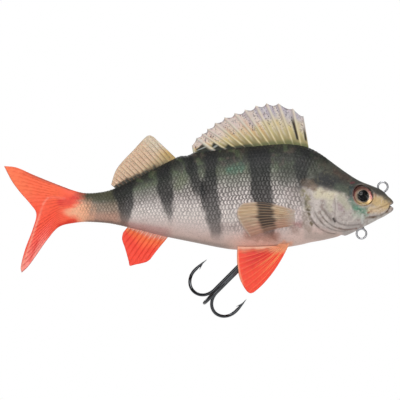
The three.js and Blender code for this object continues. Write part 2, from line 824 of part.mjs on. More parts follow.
// Two turns side by side, joined where the wire steps from one to the other. Its axis is local X.
function splitRing() {
  const stepStart = 0.9; // turns before the wire starts to step across
  const stepEnd = 1.0;
  const turns = 1.86;
  const steps = 44;
  const across = (ringWireWide + ringTurnGap) / 2;
  const rings = [];
  for (let i = 0; i <= steps; i++) {
    const turn = (turns * i) / steps;
    const angle = 2 * Math.PI * turn;
    const side = THREE.MathUtils.lerp(-across, across, THREE.MathUtils.smoothstep(turn, stepStart, stepEnd));
    const corner = (x, radius) =>
      new THREE.Vector3(side + x, radius * Math.cos(angle), radius * Math.sin(angle));
    const [wide, deep] = [ringWireWide / 2, ringWireDeep / 2];
    rings.push([
      corner(-wide, ringRadius - deep),
      corner(wide, ringRadius - deep),
      corner(wide, ringRadius + deep),
      corner(-wide, ringRadius + deep),
    ]);
  }
  const middle = (ring) => ring.reduce((sum, p) => sum.add(p), new THREE.Vector3()).multiplyScalar(0.25);
  return skinRings(rings, [middle(rings[0]), middle(rings[steps])]);
}

const shankOffset = (2 * hookWireRadius + brazeGap) / Math.sqrt(3);

// One hook in the local XZ plane: shank down from the eye, bend towards +X, point up, barb inside.
function hookBar(fromHeight) {
  const bendHeight = -hookLength + hookBendRadius;
  const bendCentre = shankOffset + hookBendRadius;
  const path = [];
  const shankSteps = 4;
  for (let i = 0; i < shankSteps; i++) {
    const share = i / shankSteps;
    path.push(new THREE.Vector3(shankOffset, 0, THREE.MathUtils.lerp(fromHeight, bendHeight, share)));
  }
  const bendSteps = 12;
  for (let i = 0; i <= bendSteps; i++) {
    const angle = Math.PI * (1 + i / bendSteps);
    path.push(
      new THREE.Vector3(bendCentre + hookBendRadius * Math.cos(angle), 0, bendHeight + hookBendRadius * Math.sin(angle)),
    );
  }
  const pointX = bendCentre + hookBendRadius;
  const pointHeight = -hookLength + hookPointRise;
  const pointSteps = 5;
  for (let i = 1; i <= pointSteps; i++) {
    const share = i / pointSteps;
    const height = THREE.MathUtils.lerp(bendHeight, pointHeight, share);
    path.push(new THREE.Vector3(pointX - hookPointIn * share ** 2, 0, height));
  }
  const pathLength = path.slice(1).reduce((sum, p, i) => sum + p.distanceTo(path[i]), 0);
  const lengthTo = [0];
  path.slice(1).forEach((p, i) => lengthTo.push(lengthTo[i] + p.distanceTo(path[i])));
  const radiusAt = (share) => {
    const left = pathLength - lengthTo[Math.round(share * (path.length - 1))];
    return hookWireRadius * Math.max(0.08, Math.min(1, left / hookPointTaper) ** 0.8);
  };
  const barbTipX = pointX - hookPointIn * 0.5 - hookWireRadius - barbWidth;
  const barbTip = new THREE.Vector3(barbTipX, 0, pointHeight - barbBehindPoint);
  const barbFoot = new THREE.Vector3(pointX - hookPointIn * 0.8, 0, barbTip.z + barbLength);
  const barbRadiusAt = (share) => THREE.MathUtils.lerp(barbFootRadius, barbTipRadius, share);
  const barb = bar([barbFoot, barbTip], barbRadiusAt, barbSides);
  return join([bar(path, radiusAt), barb]);
}

function doubleHook() {
  const eye = new THREE.TorusGeometry(hookEyeRadius, hookWireRadius, wireSides, roundSides).rotateX(Math.PI / 2);
  const arms = doubleHookTurns.map((turn) => hookBar(-hookEyeRadius).rotateZ(rad(turn)));
  return join([eye, ...arms]);
}

function singleHook() {
  const belowEye = -(hookEyeRadius + hookWireRadius + fitGap);
  return hookBar(belowEye).rotateZ(rad(singleHookTurn));
}

// Assembly

const looks = Object.fromEntries(
  Object.entries(materials).map(([name, look]) => [name, new THREE.MeshStandardMaterial(look)]),
);

// Each moving group has its origin on its joint's axis, so that turning the group turns the joint.
const lure = new THREE.Group();
const trunk = new THREE.Group();
trunk.position.copy(tieCentre).negate();
lure.add(trunk);
const rear = new THREE.Group();
rear.position.set(-bodyBendBack, 0, 0);
trunk.add(rear);
const peduncle = new THREE.Group();
peduncle.position.set(bodyBendBack - peduncleBendBack, 0, 0);
rear.add(peduncle);
const tail = new THREE.Group();
tail.position.set(peduncleBendBack - tailBendBack, 0, 0);
peduncle.add(tail);
const ring = new THREE.Group();
ring.position.copy(hangerCentre);
trunk.add(ring);
const treble = new THREE.Group();
treble.position.subVectors(ringCentre, hangerCentre);
ring.add(treble);
lure.updateMatrixWorld(true);

// Adds a piece whose geometry is in the trunk's frame to one of the moving groups.
function addPiece(group, name, geometry, look) {
  const mesh = new THREE.Mesh(geometry, looks[look]);
  mesh.name = name;
  trunk.add(mesh);
  mesh.updateWorldMatrix(true, false);
  if (group !== trunk) group.attach(mesh);
  return mesh;
}

const bodyOpening = bendOpening(bodyBendBack, bodyBendLimit);
const peduncleOpening = bendOpening(peduncleBendBack, peduncleBendLimit);
const tailOpening = bendOpening(tailBendBack, tailBendLimit);

function addTrunk() {
  const cutters = [
    mouthCut(),
    eyeSocket(1),
    eyeSocket(-1),
    ballast(fitGap),
    tieWire(fitGap),
    chinWire(fitGap),
    hangerWire(fitGap),
    finSlot(firstDorsalSpec()),
    finSlot(pelvicSpec(1)),
    finSlot(pelvicSpec(-1)),
    pectoralTab(1, fitGap),
    pectoralTab(-1, fitGap),
  ];
  addPiece(trunk, "trunk_body", cut(bodySection(0, bodyBendBack - bodyOpening, bodyRingStep), cutters), "back");
  addPiece(trunk, "first_dorsal_fin", ribbedFin(firstDorsalSpec()), "dorsal");
  for (const [name, side] of [["left", 1], ["right", -1]]) {
    addPiece(trunk, `${name}_pelvic_fin`, ribbedFin(pelvicSpec(side)), "orange");
    addPiece(trunk, `${name}_pectoral_fin`, pectoralFin(side), "pectoral");
    addEye(name, side);
  }
}

function addEye(name, side) {
  const seat = onFlank(eyeBack, eyeHeight, side);
  trunk.add(seat);
  const layers = [
    ["eye_cup", disc(eyeRadius, eyeCupBase, eyeCupThickness), "iris"],
    ["eye_pupil", disc(pupilRadius, pupilBase, pupilThickness), "pupil"],
    ["eye_dome", eyeDome(), "dome"],
  ];
  for (const [piece, geometry, look] of layers) {
    const mesh = new THREE.Mesh(geometry, looks[look]);
    mesh.name = `${name}_${piece}`;
    seat.add(mesh);
  }
}

function addHarness() {
  const channels = [tieWire(fitGap), chinWire(fitGap), hangerWire(fitGap)];
  addPiece(trunk, "ballast_weight", cut(ballast(0), channels), "ballast");
  addPiece(trunk, "line_tie_wire", tieWire(0), "wire");
  addPiece(trunk, "chin_eye_wire", chinWire(0), "wire");
  addPiece(trunk, "hook_hanger_wire", hangerWire(0), "wire");
}

// The soft web that bends is the slice between two sections, a fit gap short of each.
function addWeb(group, name, back, opening) {
  addPiece(group, name, bodySection(back - opening + fitGap, back + opening - fitGap, webRingStep), "back");
}

function addRearBody() {
  addWeb(trunk, "body_bend_web", bodyBendBack, bodyOpening);
  const body = bodySection(bodyBendBack + bodyOpening, peduncleBendBack - peduncleOpening, bodyRingStep);
  addPiece(rear, "rear_body", cut(body, [finSlot(secondDorsalSpec()), finSlot(analSpec())]), "back");
  addPiece(rear, "second_dorsal_fin", ribbedFin(secondDorsalSpec()), "dorsal");
  addPiece(rear, "anal_fin", ribbedFin(analSpec()), "orange");
}

function addTail() {
  addWeb(rear, "peduncle_bend_web", peduncleBendBack, peduncleOpening);
  const body = bodySection(peduncleBendBack + peduncleOpening, tailBendBack - tailOpening, bodyRingStep);
  addPiece(peduncle, "peduncle_body", body, "back");
  addWeb(peduncle, "tail_bend_web", tailBendBack, tailOpening);
  addPiece(tail, "tail_fin", tailFin(tailBendBack + tailOpening), "orange");
}

function addHook() {
  const ringMesh = new THREE.Mesh(splitRing(), looks.wire);
  ringMesh.name = "split_ring";
  ringMesh.position.copy(treble.position);
  ringMesh.rotation.y = rad(hookSweep);
  ring.add(ringMesh);
  const shank = new THREE.Group();
  shank.position.subVectors(hookCentre, ringCentre);
  shank.rotation.y = rad(hookSweep);
  treble.add(shank);
  for (const [name, geometry] of [
    ["treble_double_hook", doubleHook()],
    ["treble_single_hook", singleHook()],
  ]) {
    const mesh = new THREE.Mesh(geometry, looks.hook);
    mesh.name = name;
    shank.add(mesh);
  }
}

addTrunk();
addHarness();
addRearBody();
addTail();
addHook();

export default lure;
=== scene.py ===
import functools
import math

import bpy
import numpy as np
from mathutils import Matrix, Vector


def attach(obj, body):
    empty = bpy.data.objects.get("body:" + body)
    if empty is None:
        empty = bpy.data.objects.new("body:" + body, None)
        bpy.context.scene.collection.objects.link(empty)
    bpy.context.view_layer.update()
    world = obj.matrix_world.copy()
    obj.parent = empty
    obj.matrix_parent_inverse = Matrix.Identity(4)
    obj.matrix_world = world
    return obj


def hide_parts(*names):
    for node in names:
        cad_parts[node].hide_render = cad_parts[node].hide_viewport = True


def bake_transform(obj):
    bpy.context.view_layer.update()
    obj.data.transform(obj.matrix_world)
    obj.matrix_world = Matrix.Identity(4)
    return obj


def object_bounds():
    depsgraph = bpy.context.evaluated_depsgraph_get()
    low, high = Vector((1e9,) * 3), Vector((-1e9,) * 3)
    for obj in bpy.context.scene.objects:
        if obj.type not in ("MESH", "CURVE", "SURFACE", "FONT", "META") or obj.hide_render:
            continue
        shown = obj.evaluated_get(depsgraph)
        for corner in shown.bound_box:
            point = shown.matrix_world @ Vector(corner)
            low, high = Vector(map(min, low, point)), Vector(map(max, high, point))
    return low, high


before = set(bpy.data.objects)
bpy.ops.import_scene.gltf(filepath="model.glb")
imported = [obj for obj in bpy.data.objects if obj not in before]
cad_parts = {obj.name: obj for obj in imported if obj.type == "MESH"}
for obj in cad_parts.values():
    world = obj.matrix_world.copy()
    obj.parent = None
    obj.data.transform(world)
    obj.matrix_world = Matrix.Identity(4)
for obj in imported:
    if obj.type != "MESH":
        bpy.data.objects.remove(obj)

cad_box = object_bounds()

# The model is written in the CAD's own terms: millimetres behind the nose tip ("back"), to the fish's
# left ("side") and over the body's axis ("height"). to_row() turns them into the row frame.
MM = 0.001

# Soft body, as in the CAD: back, top, bottom, half width, height of the widest point
BODY_OUTLINE = np.array([
    (0.0, 2.9, -1.7, 1.5, 0.7),
    (0.6, 3.7, -2.3, 2.5, 0.7),
    (1.8, 4.7, -2.9, 3.3, 0.8),
    (4.1, 7.1, -4.3, 4.5, 1.0),
    (6.1, 8.4, -5.3, 5.3, 1.1),
    (9.2, 9.7, -7.1, 6.4, 1.2),
    (15.8, 12.4, -10.3, 8.1, 1.2),
    (22.4, 16.6, -12.9, 9.6, 1.4),
    (32.0, 23.6, -15.3, 11.3, 1.6),
    (37.6, 26.9, -16.3, 12.0, 1.8),
    (43.1, 28.6, -17.6, 12.4, 2.0),
    (51.5, 29.1, -18.9, 12.6, 2.3),
    (68.0, 27.7, -19.8, 12.1, 2.6),
    (76.4, 26.9, -19.4, 11.5, 2.7),
    (92.0, 25.0, -16.4, 9.8, 2.6),
    (95.0, 23.8, -15.8, 9.4, 2.5),
    (98.5, 23.5, -15.1, 9.0, 2.4),
    (107.0, 19.4, -13.3, 7.7, 2.0),
    (118.0, 13.7, -10.5, 6.0, 1.2),
    (129.1, 8.4, -7.9, 4.5, 0.4),
    (134.7, 6.9, -7.2, 3.9, 0.0),
    (143.0, 6.5, -6.9, 3.1, -0.2),
    (151.0, 8.7, -7.9, 2.3, 0.0),
])
TOP, BOTTOM, HALF_WIDTH, WIDEST = 1, 2, 3, 4
BODY_END = BODY_OUTLINE[-1, 0]
BACK_FULLNESS = 1.8
BELLY_FULLNESS = 2.2
NOSE_ROUND = 0.5

# Each skin: its piece, how far back it reaches, the bodies before and behind its bend, the bend's place
# and how far it spreads to either side, its slot, and the CAD nodes that it replaces
SKINS = [
    ("trunk_skin", 115.0, "trunk", "rear_body", 96.1, 11.0, "soft_body",
     ("trunk_body", "body_bend_web", "rear_body")),
    ("peduncle_skin", 141.0, "rear_body", "peduncle", 132.0, 6.0, "soft_body",
     ("peduncle_bend_web", "peduncle_body")),
    ("tail_skin", math.inf, "peduncle", "tail_fin", 149.0, 5.0, "red_fins",
     ("tail_bend_web", "tail_fin")),
]

# Skin mesh
HALF_RING = 170
NOSE_STEP = 0.14
HEAD_STEP = 0.24
FLANK_STEP = 0.3
TAIL_ROWS = 120

# Scales, each list by distance behind the nose tip: how long and how tall a scale shows, and how much
# its row climbs for each millimetre towards the tail
SCALE_LENGTHS = [(36.0, 1.64), (95.0, 1.56), (140.0, 1.42)]
SCALE_HEIGHTS = [(50.0, 2.08), (90.0, 1.95), (110.0, 1.4), (140.0, 1.4)]
SCALE_CLIMB = [(44.0, 0.15), (56.0, 0.0), (68.0, -0.1), (100.0, -0.1), (120.0, -0.04)]
SCALE_CURVE = 0.62
SCALE_RELIEF = 0.12

# Tail fin, as in the CAD
TAIL_FRONT_BACK = 149.83
TAIL_UPPER_EDGE = [(159.2, 12.0), (166.7, 15.1), (174.1, 18.3)]
TAIL_MARGIN = [
    (180.0, 19.0), (176.5, 12.2), (172.6, 6.9), (167.6, 1.2), (165.0, -3.2),
    (166.6, -10.0), (170.2, -19.7), (172.2, -27.5), (171.8, -30.4),
]
TAIL_LOWER_EDGE = [
    (152.6, -8.4), (154.9, -9.5), (156.9, -11.3), (158.9, -13.8), (161.4, -17.1), (164.2, -21.2),
    (168.6, -27.3),
]
TAIL_THICKNESS = 1.3
TAIL_THINNING = 11.0
TAIL_FOLD_TOP = np.array([160.6, 4.6])
TAIL_FOLD_BOTTOM = np.array([171.4, -27.5])
TAIL_FOLD_ANGLE = math.radians(32)
TAIL_FOLD_FADE = 14.0
TAIL_RAYS = 21
TAIL_RAY_HEIGHT = 0.1
TAIL_RIM = 0.7
TAIL_FOLD_ROUND = 0.5
# Above 1, the sheets' rows crowd together at the margin
TAIL_CROWDING = 1.25
FIN_CROWDING = 1.15

# Eyes, as in the CAD
EYE_BACK = 13.8
EYE_HEIGHT = 5.6
EYE_RADIUS = 4.6
EYE_DOME_BASE = -0.9
EYE_DOME_RIM = 0.5
EYE_DOME_RISE = 1.5
PUPIL_BASE = -1.4
PUPIL_RADIUS = 2.2
PUPIL_THICKNESS = 0.35
IRIS_BASE = -2.35
IRIS_THICKNESS = 0.8
SOCKET_DEPTH = 2.6

# Wire and hook, as in the CAD
WIRE_RADIUS = 0.45
EYELET_RADIUS = 2.25
TIE_BACK = 4.5
TIE_RISE = 1.9
CHIN_BACK = 14.4
CHIN_DROP = 2.7
HANGER_BACK = 63.5
HANGER_DROP = 0.8
RING_RADIUS = 2.5
RING_WIRE_DEEP = 0.8
RING_WIRE_WIDE = 0.5
RING_TURN_GAP = 0.12
RING_TURNS = 1.86
HOOK_WIRE_RADIUS = 0.75
HOOK_EYE_RADIUS = 2.1
HOOK_BEND_RADIUS = 7.35
HOOK_LENGTH = 26.8
HOOK_POINT_RISE = 14.8
HOOK_POINT_TAPER = 6.5
HOOK_POINT_IN = 0.6
BRAZE_GAP = 0.1
LINK_GAP = 0.2
# The way the hook train hangs, and the way across it, each in back, side and height
HOOK_SWEEP = math.radians(45)
SWEPT = np.array([math.sin(HOOK_SWEEP), 0, -math.cos(HOOK_SWEEP)])
ACROSS = np.array([SWEPT[2], 0, -SWEPT[0]])
SIDEWAYS = np.array([0, 1.0, 0])
# Each wire eye: its piece and node, its place, the outline's column that it stands on and how far its
# centre is above that, the angles at which its two legs leave it, how far back and up from there each
# leg's shoulder is, and how far back and how high its foot is
WIRE_EYES = [
    ("line_tie", "line_tie_wire", TIE_BACK, TOP, TIE_RISE, (200, 305), (3.3, -3.2), (11, -1.6)),
    ("chin_eye", "chin_eye_wire", CHIN_BACK, BOTTOM, -CHIN_DROP, (60, 120), (0.4, 2.4), (3.6, -7.0)),
    ("hook_hanger", "hook_hanger_wire", HANGER_BACK, BOTTOM, -HANGER_DROP, (60, 120), (-0.6, 3.4),
     (-3.6, -10.6)),
]
LEG_ASIDE = 0.6


# Curves and outlines

def outline(back, column):
    """One column of the body's outline at a distance behind the nose tip, as a smooth curve."""
    x = BODY_OUTLINE[:, 0]
    y = BODY_OUTLINE[:, column]
    slope = np.empty_like(y)
    slope[1:-1] = (y[2:] - y[:-2]) / (x[2:] - x[:-2])
    slope[0] = (y[1] - y[0]) / (x[1] - x[0])
    slope[-1] = (y[-1] - y[-2]) / (x[-1] - x[-2])
    back = np.asarray(back, float)
    i = np.clip(np.searchsorted(x, back) - 1, 0, len(x) - 2)
    span = x[i + 1] - x[i]
    t = (back - x[i]) / span
    return (
        (2 * t**3 - 3 * t**2 + 1) * y[i]
        + (t**3 - 2 * t**2 + t) * span * slope[i]
        + (3 * t**2 - 2 * t**3) * y[i + 1]
        + (t**3 - t**2) * span * slope[i + 1]
    )


TIE_HEIGHT = float(outline(TIE_BACK, TOP)) + TIE_RISE


def to_row(back, side, height):
    """Points given as back, side and height in millimetres, in the row frame in metres."""
    back, side, height = np.broadcast_arrays(back, side, height)
    return np.stack([TIE_BACK - back, side, height - TIE_HEIGHT], axis=-1) * MM


def placed(points):
    return to_row(*np.moveaxis(np.asarray(points), -1, 0))


def ease(low, high, x):
    """0 at low and 1 at high, with a smooth run between them. Either may be the greater."""
    t = np.clip((x - low) / (high - low), 0, 1)
    return t * t * (3 - 2 * t)


def bell(x, width):
    return np.exp(-(x / width) ** 2)


def read_off(x, rows):
    """The value at x from rows of place and value."""
    return np.interp(x, *zip(*rows))


def flank(back, height):
    """Half the body's width at a height."""
    widest = outline(back, WIDEST)
    above = height > widest
    power = np.where(above, BACK_FULLNESS, BELLY_FULLNESS)
    reach = np.where(above, outline(back, TOP) - widest, widest - outline(back, BOTTOM))
    share = np.clip(np.abs(height - widest) / reach, 0, 1)
    return outline(back, HALF_WIDTH) * (1 - share**power) ** (1 / power)


def underside(back, side):
    """Height of the belly at a distance from the middle."""
    widest = outline(back, WIDEST)
    share = np.clip(np.abs(side) / outline(back, HALF_WIDTH), 0, 1)
    reach = widest - outline(back, BOTTOM)
    return widest - reach * (1 - share**BELLY_FULLNESS) ** (1 / BELLY_FULLNESS)


def spline(points, shares, even=True):
    """Points on a smooth curve through the given ones, spaced evenly along it or point by point."""
    p = np.array(points, float)
    shares = np.asarray(shares, float)
    if len(p) == 2:
        return p[0] + (p[1] - p[0]) * shares[..., None]
    padded = np.vstack([p[:1], p, p[-1:]])

    def at(share):
        x = np.clip(share, 0, 1) * (len(p) - 1)
        i = np.minimum(x.astype(int), len(p) - 2)
        t = (x - i)[..., None]
        a, b, c, d = (padded[i + k] for k in range(4))
        return 0.5 * (2 * b + (c - a) * t + (2 * a - 5 * b + 4 * c - d) * t**2 + (3 * b - a - 3 * c + d) * t**3)

    if not even:
        return at(shares)
    dense = np.linspace(0, 1, 401)
    steps = np.linalg.norm(np.diff(at(dense), axis=0), axis=1)
    run = np.concatenate([[0], np.cumsum(steps)])
    return at(np.interp(shares * run[-1], run, dense))


def near_path(path, back, height):
    """Each point's distance from a path, its side, and how far along it is. The side is 1 towards the
    nose from a path that runs down, and above a path that runs forward."""
    path = np.array(path, float)
    p = np.stack([back, height], -1)
    best = np.full(back.shape, 1e9)
    side = np.zeros(back.shape)
    along = np.zeros(back.shape)
    for i in range(len(path) - 1):
        d = path[i + 1] - path[i]
        v = p - path[i]
        t = np.clip((v @ d) / (d @ d), 0, 1)
        distance = np.linalg.norm(v - t[..., None] * d, axis=-1)
        closer = distance < best
        best = np.where(closer, distance, best)
        side = np.where(closer, np.sign(d[1] * v[..., 0] - d[0] * v[..., 1]), side)
        along = np.where(closer, (i + t) / (len(path) - 1), along)
    return best, side, along


def smooth_path(points, steps):
    return spline(points, np.linspace(0, 1, steps + 1))


def circle(centre, radius, first, second, steps=64):
    turn = 2 * np.pi * np.arange(steps) / steps
    return centre + radius * (np.cos(turn)[:, None] * first + np.sin(turn)[:, None] * second)


# Meshes

def new_object(name, points, faces, flat_from=None):
    """A mesh object. Faces from flat_from on are inner ends, which stay flat shaded."""
    mesh = bpy.data.meshes.new(name)
    mesh.from_pydata([tuple(p) for p in points.tolist()], [], faces)
    smooth = np.ones(len(faces), bool)
    if flat_from is not None:
        smooth[flat_from:] = False
    mesh.polygons.foreach_set("use_smooth", smooth)
    rest = mesh.attributes.new("rest", "FLOAT_VECTOR", "POINT")
    rest.data.foreach_set("vector", (np.asarray(points, float) / MM).astype(np.float32).ravel())
    obj = bpy.data.objects.new(name, mesh)
    bpy.context.scene.collection.objects.link(obj)
    return obj


def face_out(obj):
    """Turns a closed mesh's faces out."""
    mesh = obj.data
    mesh.calc_loop_triangles()
    co = np.empty(len(mesh.vertices) * 3)
    mesh.vertices.foreach_get("co", co)
    co = co.reshape(-1, 3)
    tris = np.empty(len(mesh.loop_triangles) * 3, int)
    mesh.loop_triangles.foreach_get("vertices", tris)
    a, b, c = co[tris.reshape(-1, 3)].transpose(1, 0, 2)
    if np.einsum("ij,ij->i", a, np.cross(b, c)).sum() < 0:
        mesh.flip_normals()
    return obj


def add_float(obj, name, values):
    attribute = obj.data.attributes.new(name, "FLOAT", "POINT")
    attribute.data.foreach_set("value", np.asarray(values, np.float32).ravel())


def add_paint(obj, colours):
    """The airbrushed colour of each vertex, in linear light."""
    rgba = np.ones((len(obj.data.vertices), 4), np.float32)
    rgba[:, :3] = colours
    attribute = obj.data.attributes.new("paint", "FLOAT_COLOR", "POINT")
    attribute.data.foreach_set("color", rgba.ravel())


def grid_faces(rows, columns, start=0, wrap=False):
    """Faces between neighbouring rows of points. wrap joins each row's last point to its first."""
    faces = []
    for i in range(rows - 1):
        for j in range(columns if wrap else columns - 1):
            a = start + i * columns + j
            b = start + i * columns + (j + 1) % columns
            faces.append((a, b, b + columns, a + columns))
    return faces


def end_caps(rings, sides):
    """The two faces that close a tube."""
    last = (rings - 1) * sides
    return [tuple(range(sides)), tuple(range(last + sides - 1, last - 1, -1))]


def sheet_object(name, left, right):
    """A closed sheet between two grids of points, with its rim closed all round."""
    rows, columns = left.shape[:2]
    points = np.concatenate([left.reshape(-1, 3), right.reshape(-1, 3)])
    other = rows * columns
    faces = grid_faces(rows, columns)
    faces += [tuple(reversed(f)) for f in grid_faces(rows, columns, other)]
    rim = list(range(columns))
    rim += [i * columns + columns - 1 for i in range(1, rows)]
    rim += [(rows - 1) * columns + j for j in range(columns - 2, -1, -1)]
    rim += [i * columns for i in range(rows - 2, 0, -1)]
    faces += [(a, a + other, b + other, b) for a, b in zip(rim, rim[1:] + rim[:1])]
    return face_out(new_object(name, points, faces))


def tube_object(name, path, radius, sides=16, closed=False):
    """A round bar along a path in the row frame. radius is in millimetres, one or one for each point."""
    path = np.array(path, float)
    radii = np.broadcast_to(radius, len(path)) * MM
    if closed:
        tangents = np.roll(path, -1, axis=0) - np.roll(path, 1, axis=0)
    else:
        tangents = np.gradient(path, axis=0)
    tangents /= np.linalg.norm(tangents, axis=1, keepdims=True)
    normal = np.eye(3)[1 if abs(tangents[0][1]) < 0.9 else 0]
    rings = []
    for point, tangent, r in zip(path, tangents, radii):
        normal = normal - tangent * (normal @ tangent)
        normal = normal / np.linalg.norm(normal)
        rings.append(circle(point, r, normal, np.cross(tangent, normal), sides))
    faces = grid_faces(len(path), sides, wrap=True)
    if closed:
        last = (len(path) - 1) * sides
        faces += [(last + j, last + (j + 1) % sides, (j + 1) % sides, j) for j in range(sides)]
    else:
        faces += end_caps(len(path), sides)
    return face_out(new_object(name, np.concatenate(rings), faces))


def join_objects(name, objects):
    """One mesh object from several, each staying a closed shell."""
    points, faces, start = [], [], 0
    for obj in objects:
        mesh = obj.data
        points += [tuple(v.co) for v in mesh.vertices]
        faces += [tuple(start + v for v in p.vertices) for p in mesh.polygons]
        start += len(mesh.vertices)
        bpy.data.objects.remove(obj)
    return new_object(name, np.array(points), faces)


def finish(obj, material, body, node, slot):
    """Gives a rigid piece its material, the body it rides on and the node that it replaces. slot is not used.
    """
    obj.data.materials.append(material)
    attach(obj, body)
    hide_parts(node)


# Paint

def srgb(r, g, b):
    """A colour given as 0 to 255 on screen, in linear light."""
    c = np.array([r, g, b]) / 255
    return np.where(c <= 0.04045, c / 12.92, ((c + 0.055) / 1.055) ** 2.4)


def undercoat(like, colour):
    return np.ones(like.shape + (1,)) * srgb(*colour)


def coat(paint, *layers):
    """Lays colours over the paint in turn, each with how strongly it covers at each point."""
    for colour, weight in layers:
        paint += (srgb(*colour) - paint) * np.clip(weight, 0, 1)[..., None]


def spray(paint, back, height, *strokes):
    """Airbrush strokes: colour, path, full radius, how far it goes soft beyond that, and strength."""
    for colour, path, radius, soft, strength in strokes:
        distance = near_path(path, back, height)[0]
        coat(paint, (colour, strength * ease(radius + soft, radius, distance)))


def graded(stops, x):
    """Colours along a row of stops, each a position and a colour."""
    places, colours = zip(*stops)
    colours = np.array([srgb(*c) for c in colours])
    return np.stack([np.interp(x, places, colours[:, k]) for k in range(3)], -1)


def ripple(back, height, pitch, seed):
    """A soft wavy field from -1 to 1, which keeps sprayed edges from running dead straight."""
    rng = np.random.default_rng(seed)
    field = np.zeros(back.shape)
    waves = 5
    for k in range(waves):
        turn, phase = rng.uniform(0, 2 * np.pi, 2)
        wave = 2 * np.pi / (pitch * (0.6 + 0.25 * k))
        field += np.sin(wave * (np.cos(turn) * back + np.sin(turn) * height) + phase)
    return field / waves


def blotches(back, height, pitch, seed):
    """Soft random patches from -1 to 1, a pitch in millimetres apart."""
    cells = 64
    lattice = np.random.default_rng(seed).uniform(-1, 1, (cells, cells))
    u, v = back / pitch, height / pitch
    i, j = np.floor(u).astype(int), np.floor(v).astype(int)
    s, t = ease(0, 1, u - i), ease(0, 1, v - j)
    low, high = ([lattice[(i + a) % cells, (j + b) % cells] for a in (0, 1)] for b in (0, 1))
    return (low[0] * (1 - s) + low[1] * s) * (1 - t) + (high[0] * (1 - s) + high[1] * s) * t


# Body skin

GILL_EDGE = [
    (35.3, 14.0), (38.5, 13.1), (41.4, 10.9), (42.9, 9.0), (42.2, 6.9), (41.1, 3.6),
    (40.9, 1.0), (38.8, -3.2), (35.9, -7.6), (30.5, -10.5), (24.0, -12.4),
]
SCALE_EDGE = [(24.0, 40.0), (30.5, 21.0), (36.5, 14.6)] + GILL_EDGE[2:] + [(22.0, -40.0)]
CROWN_EDGE = [
    (44.0, 12.0), (38.0, 10.2), (33.0, 9.4), (28.0, 8.8), (24.5, 7.9), (22.0, 6.6), (20.0, 5.4), (18.0, 5.2),
    (14.0, 8.0), (9.6, 7.2), (6.0, 6.0), (3.0, 4.6), (-0.5, 3.2),
]
CHEEK_EDGE = [(27.4, 8.4), (27.4, 4.0), (27.0, -1.0), (27.4, -4.6), (25.6, -7.2), (21.0, -8.2), (15.6, -8.0)]
MOUTH_LINE = [(-0.8, 0.75), (0.8, 0.45), (1.5, -0.7), (2.5, -2.1), (5.5, -3.9), (8.8, -4.6), (12.6, -5.1)]
LIP_LINE = [(0.9, 1.9), (3.6, 0.6), (7.2, -0.7), (10.6, -1.4)]
GILL_FOLDS = [
    [(39.6, -2.6), (37.3, -6.6), (34.2, -9.8), (30.2, -11.9), (25.9, -12.6), (21.2, -12.6)],
    [(37.6, 0.6), (35.9, -3.6), (33.0, -7.4), (29.0, -9.9), (24.0, -10.9), (19.0, -10.8)],
    [(35.2, 0.6), (33.6, -3.5), (30.8, -6.8), (27.4, -8.9), (23.6, -9.9), (17.8, -9.8)],
    [(32.8, -0.6), (30.8, -3.8), (28.4, -6.2)],
]
CHIN_BEAD = [(14.3, -3.6), (14.5, -7.2)]
# How strongly the scales show, from the belly line to the back ridge and from the gill cover to the tail
SCALE_SHOW = [
    (0.08, 0.15), (0.2, 0.35), (0.3, 0.55), (0.4, 0.8), (0.5, 1.0), (0.65, 1.0), (0.75, 0.7), (0.85, 0.4),
    (0.95, 0.15),
]
SCALE_SHOW_BACK = [
    (36.0, 0.5), (48.0, 0.75), (56.0, 1.0), (85.0, 1.0), (105.0, 0.75), (128.0, 0.75), (136.0, 0.45),
]
# Each dark bar, from its top down: height, middle, half width, strength
BARS = [
    [(30.0, 41.9, 4.2, 0.8), (19.5, 41.9, 3.9, 0.8), (13.4, 42.4, 3.0, 0.75), (9.0, 42.8, 1.5, 0.6),
     (6.0, 43.0, 0.5, 0.0)],
    [(30.0, 61.8, 5.8, 0.95), (22.0, 62.0, 5.1, 0.95), (14.0, 61.7, 5.0, 0.9), (5.6, 61.0, 4.8, 0.86),
     (0.5, 59.5, 4.3, 0.84), (-7.0, 58.9, 3.8, 0.8), (-11.0, 58.0, 2.6, 0.55), (-14.5, 57.6, 1.8, 0.0)],
    [(26.0, 83.9, 3.1, 0.92), (14.8, 84.1, 3.1, 0.9), (7.9, 85.1, 4.2, 0.86), (2.8, 84.4, 4.2, 0.82),
     (-4.6, 83.0, 3.8, 0.76), (-11.6, 81.8, 2.7, 0.62), (-16.5, 81.2, 1.8, 0.0)],
    [(26.0, 96.5, 3.2, 0.92), (16.7, 92.9, 2.5, 0.88), (12.0, 91.0, 2.8, 0.86), (7.4, 89.6, 2.8, 0.8),
     (2.5, 88.4, 2.0, 0.0)],
    [(21.0, 106.2, 3.4, 0.92), (9.7, 105.4, 3.5, 0.86), (2.8, 104.3, 2.9, 0.86), (-2.3, 103.4, 2.0, 0.7),
     (-6.0, 102.8, 1.1, 0.4), (-9.5, 102.4, 0.8, 0.0)],
    [(12.0, 125.6, 5.6, 0.9), (7.4, 125.0, 5.1, 0.9), (2.8, 124.0, 4.1, 0.88), (-2.3, 123.6, 3.1, 0.82),
     (-6.9, 124.3, 2.1, 0.5), (-9.0, 124.3, 1.8, 0.2)],
]
BAR_SOFTNESS = 1.1
CHARCOAL = (36, 37, 38)
# The flank's colour from the belly line to the back ridge
FLANK_GRADE = [
    (0.00, (200, 170, 158)), (0.10, (208, 184, 176)), (0.20, (210, 194, 189)), (0.30, (212, 202, 197)),
    (0.42, (206, 197, 193)), (0.52, (194, 185, 182)), (0.60, (172, 166, 161)), (0.68, (142, 142, 133)),
    (0.75, (114, 117, 106)), (0.82, (80, 83, 74)), (0.90, (54, 56, 50)), (1.00, (40, 41, 38)),
]


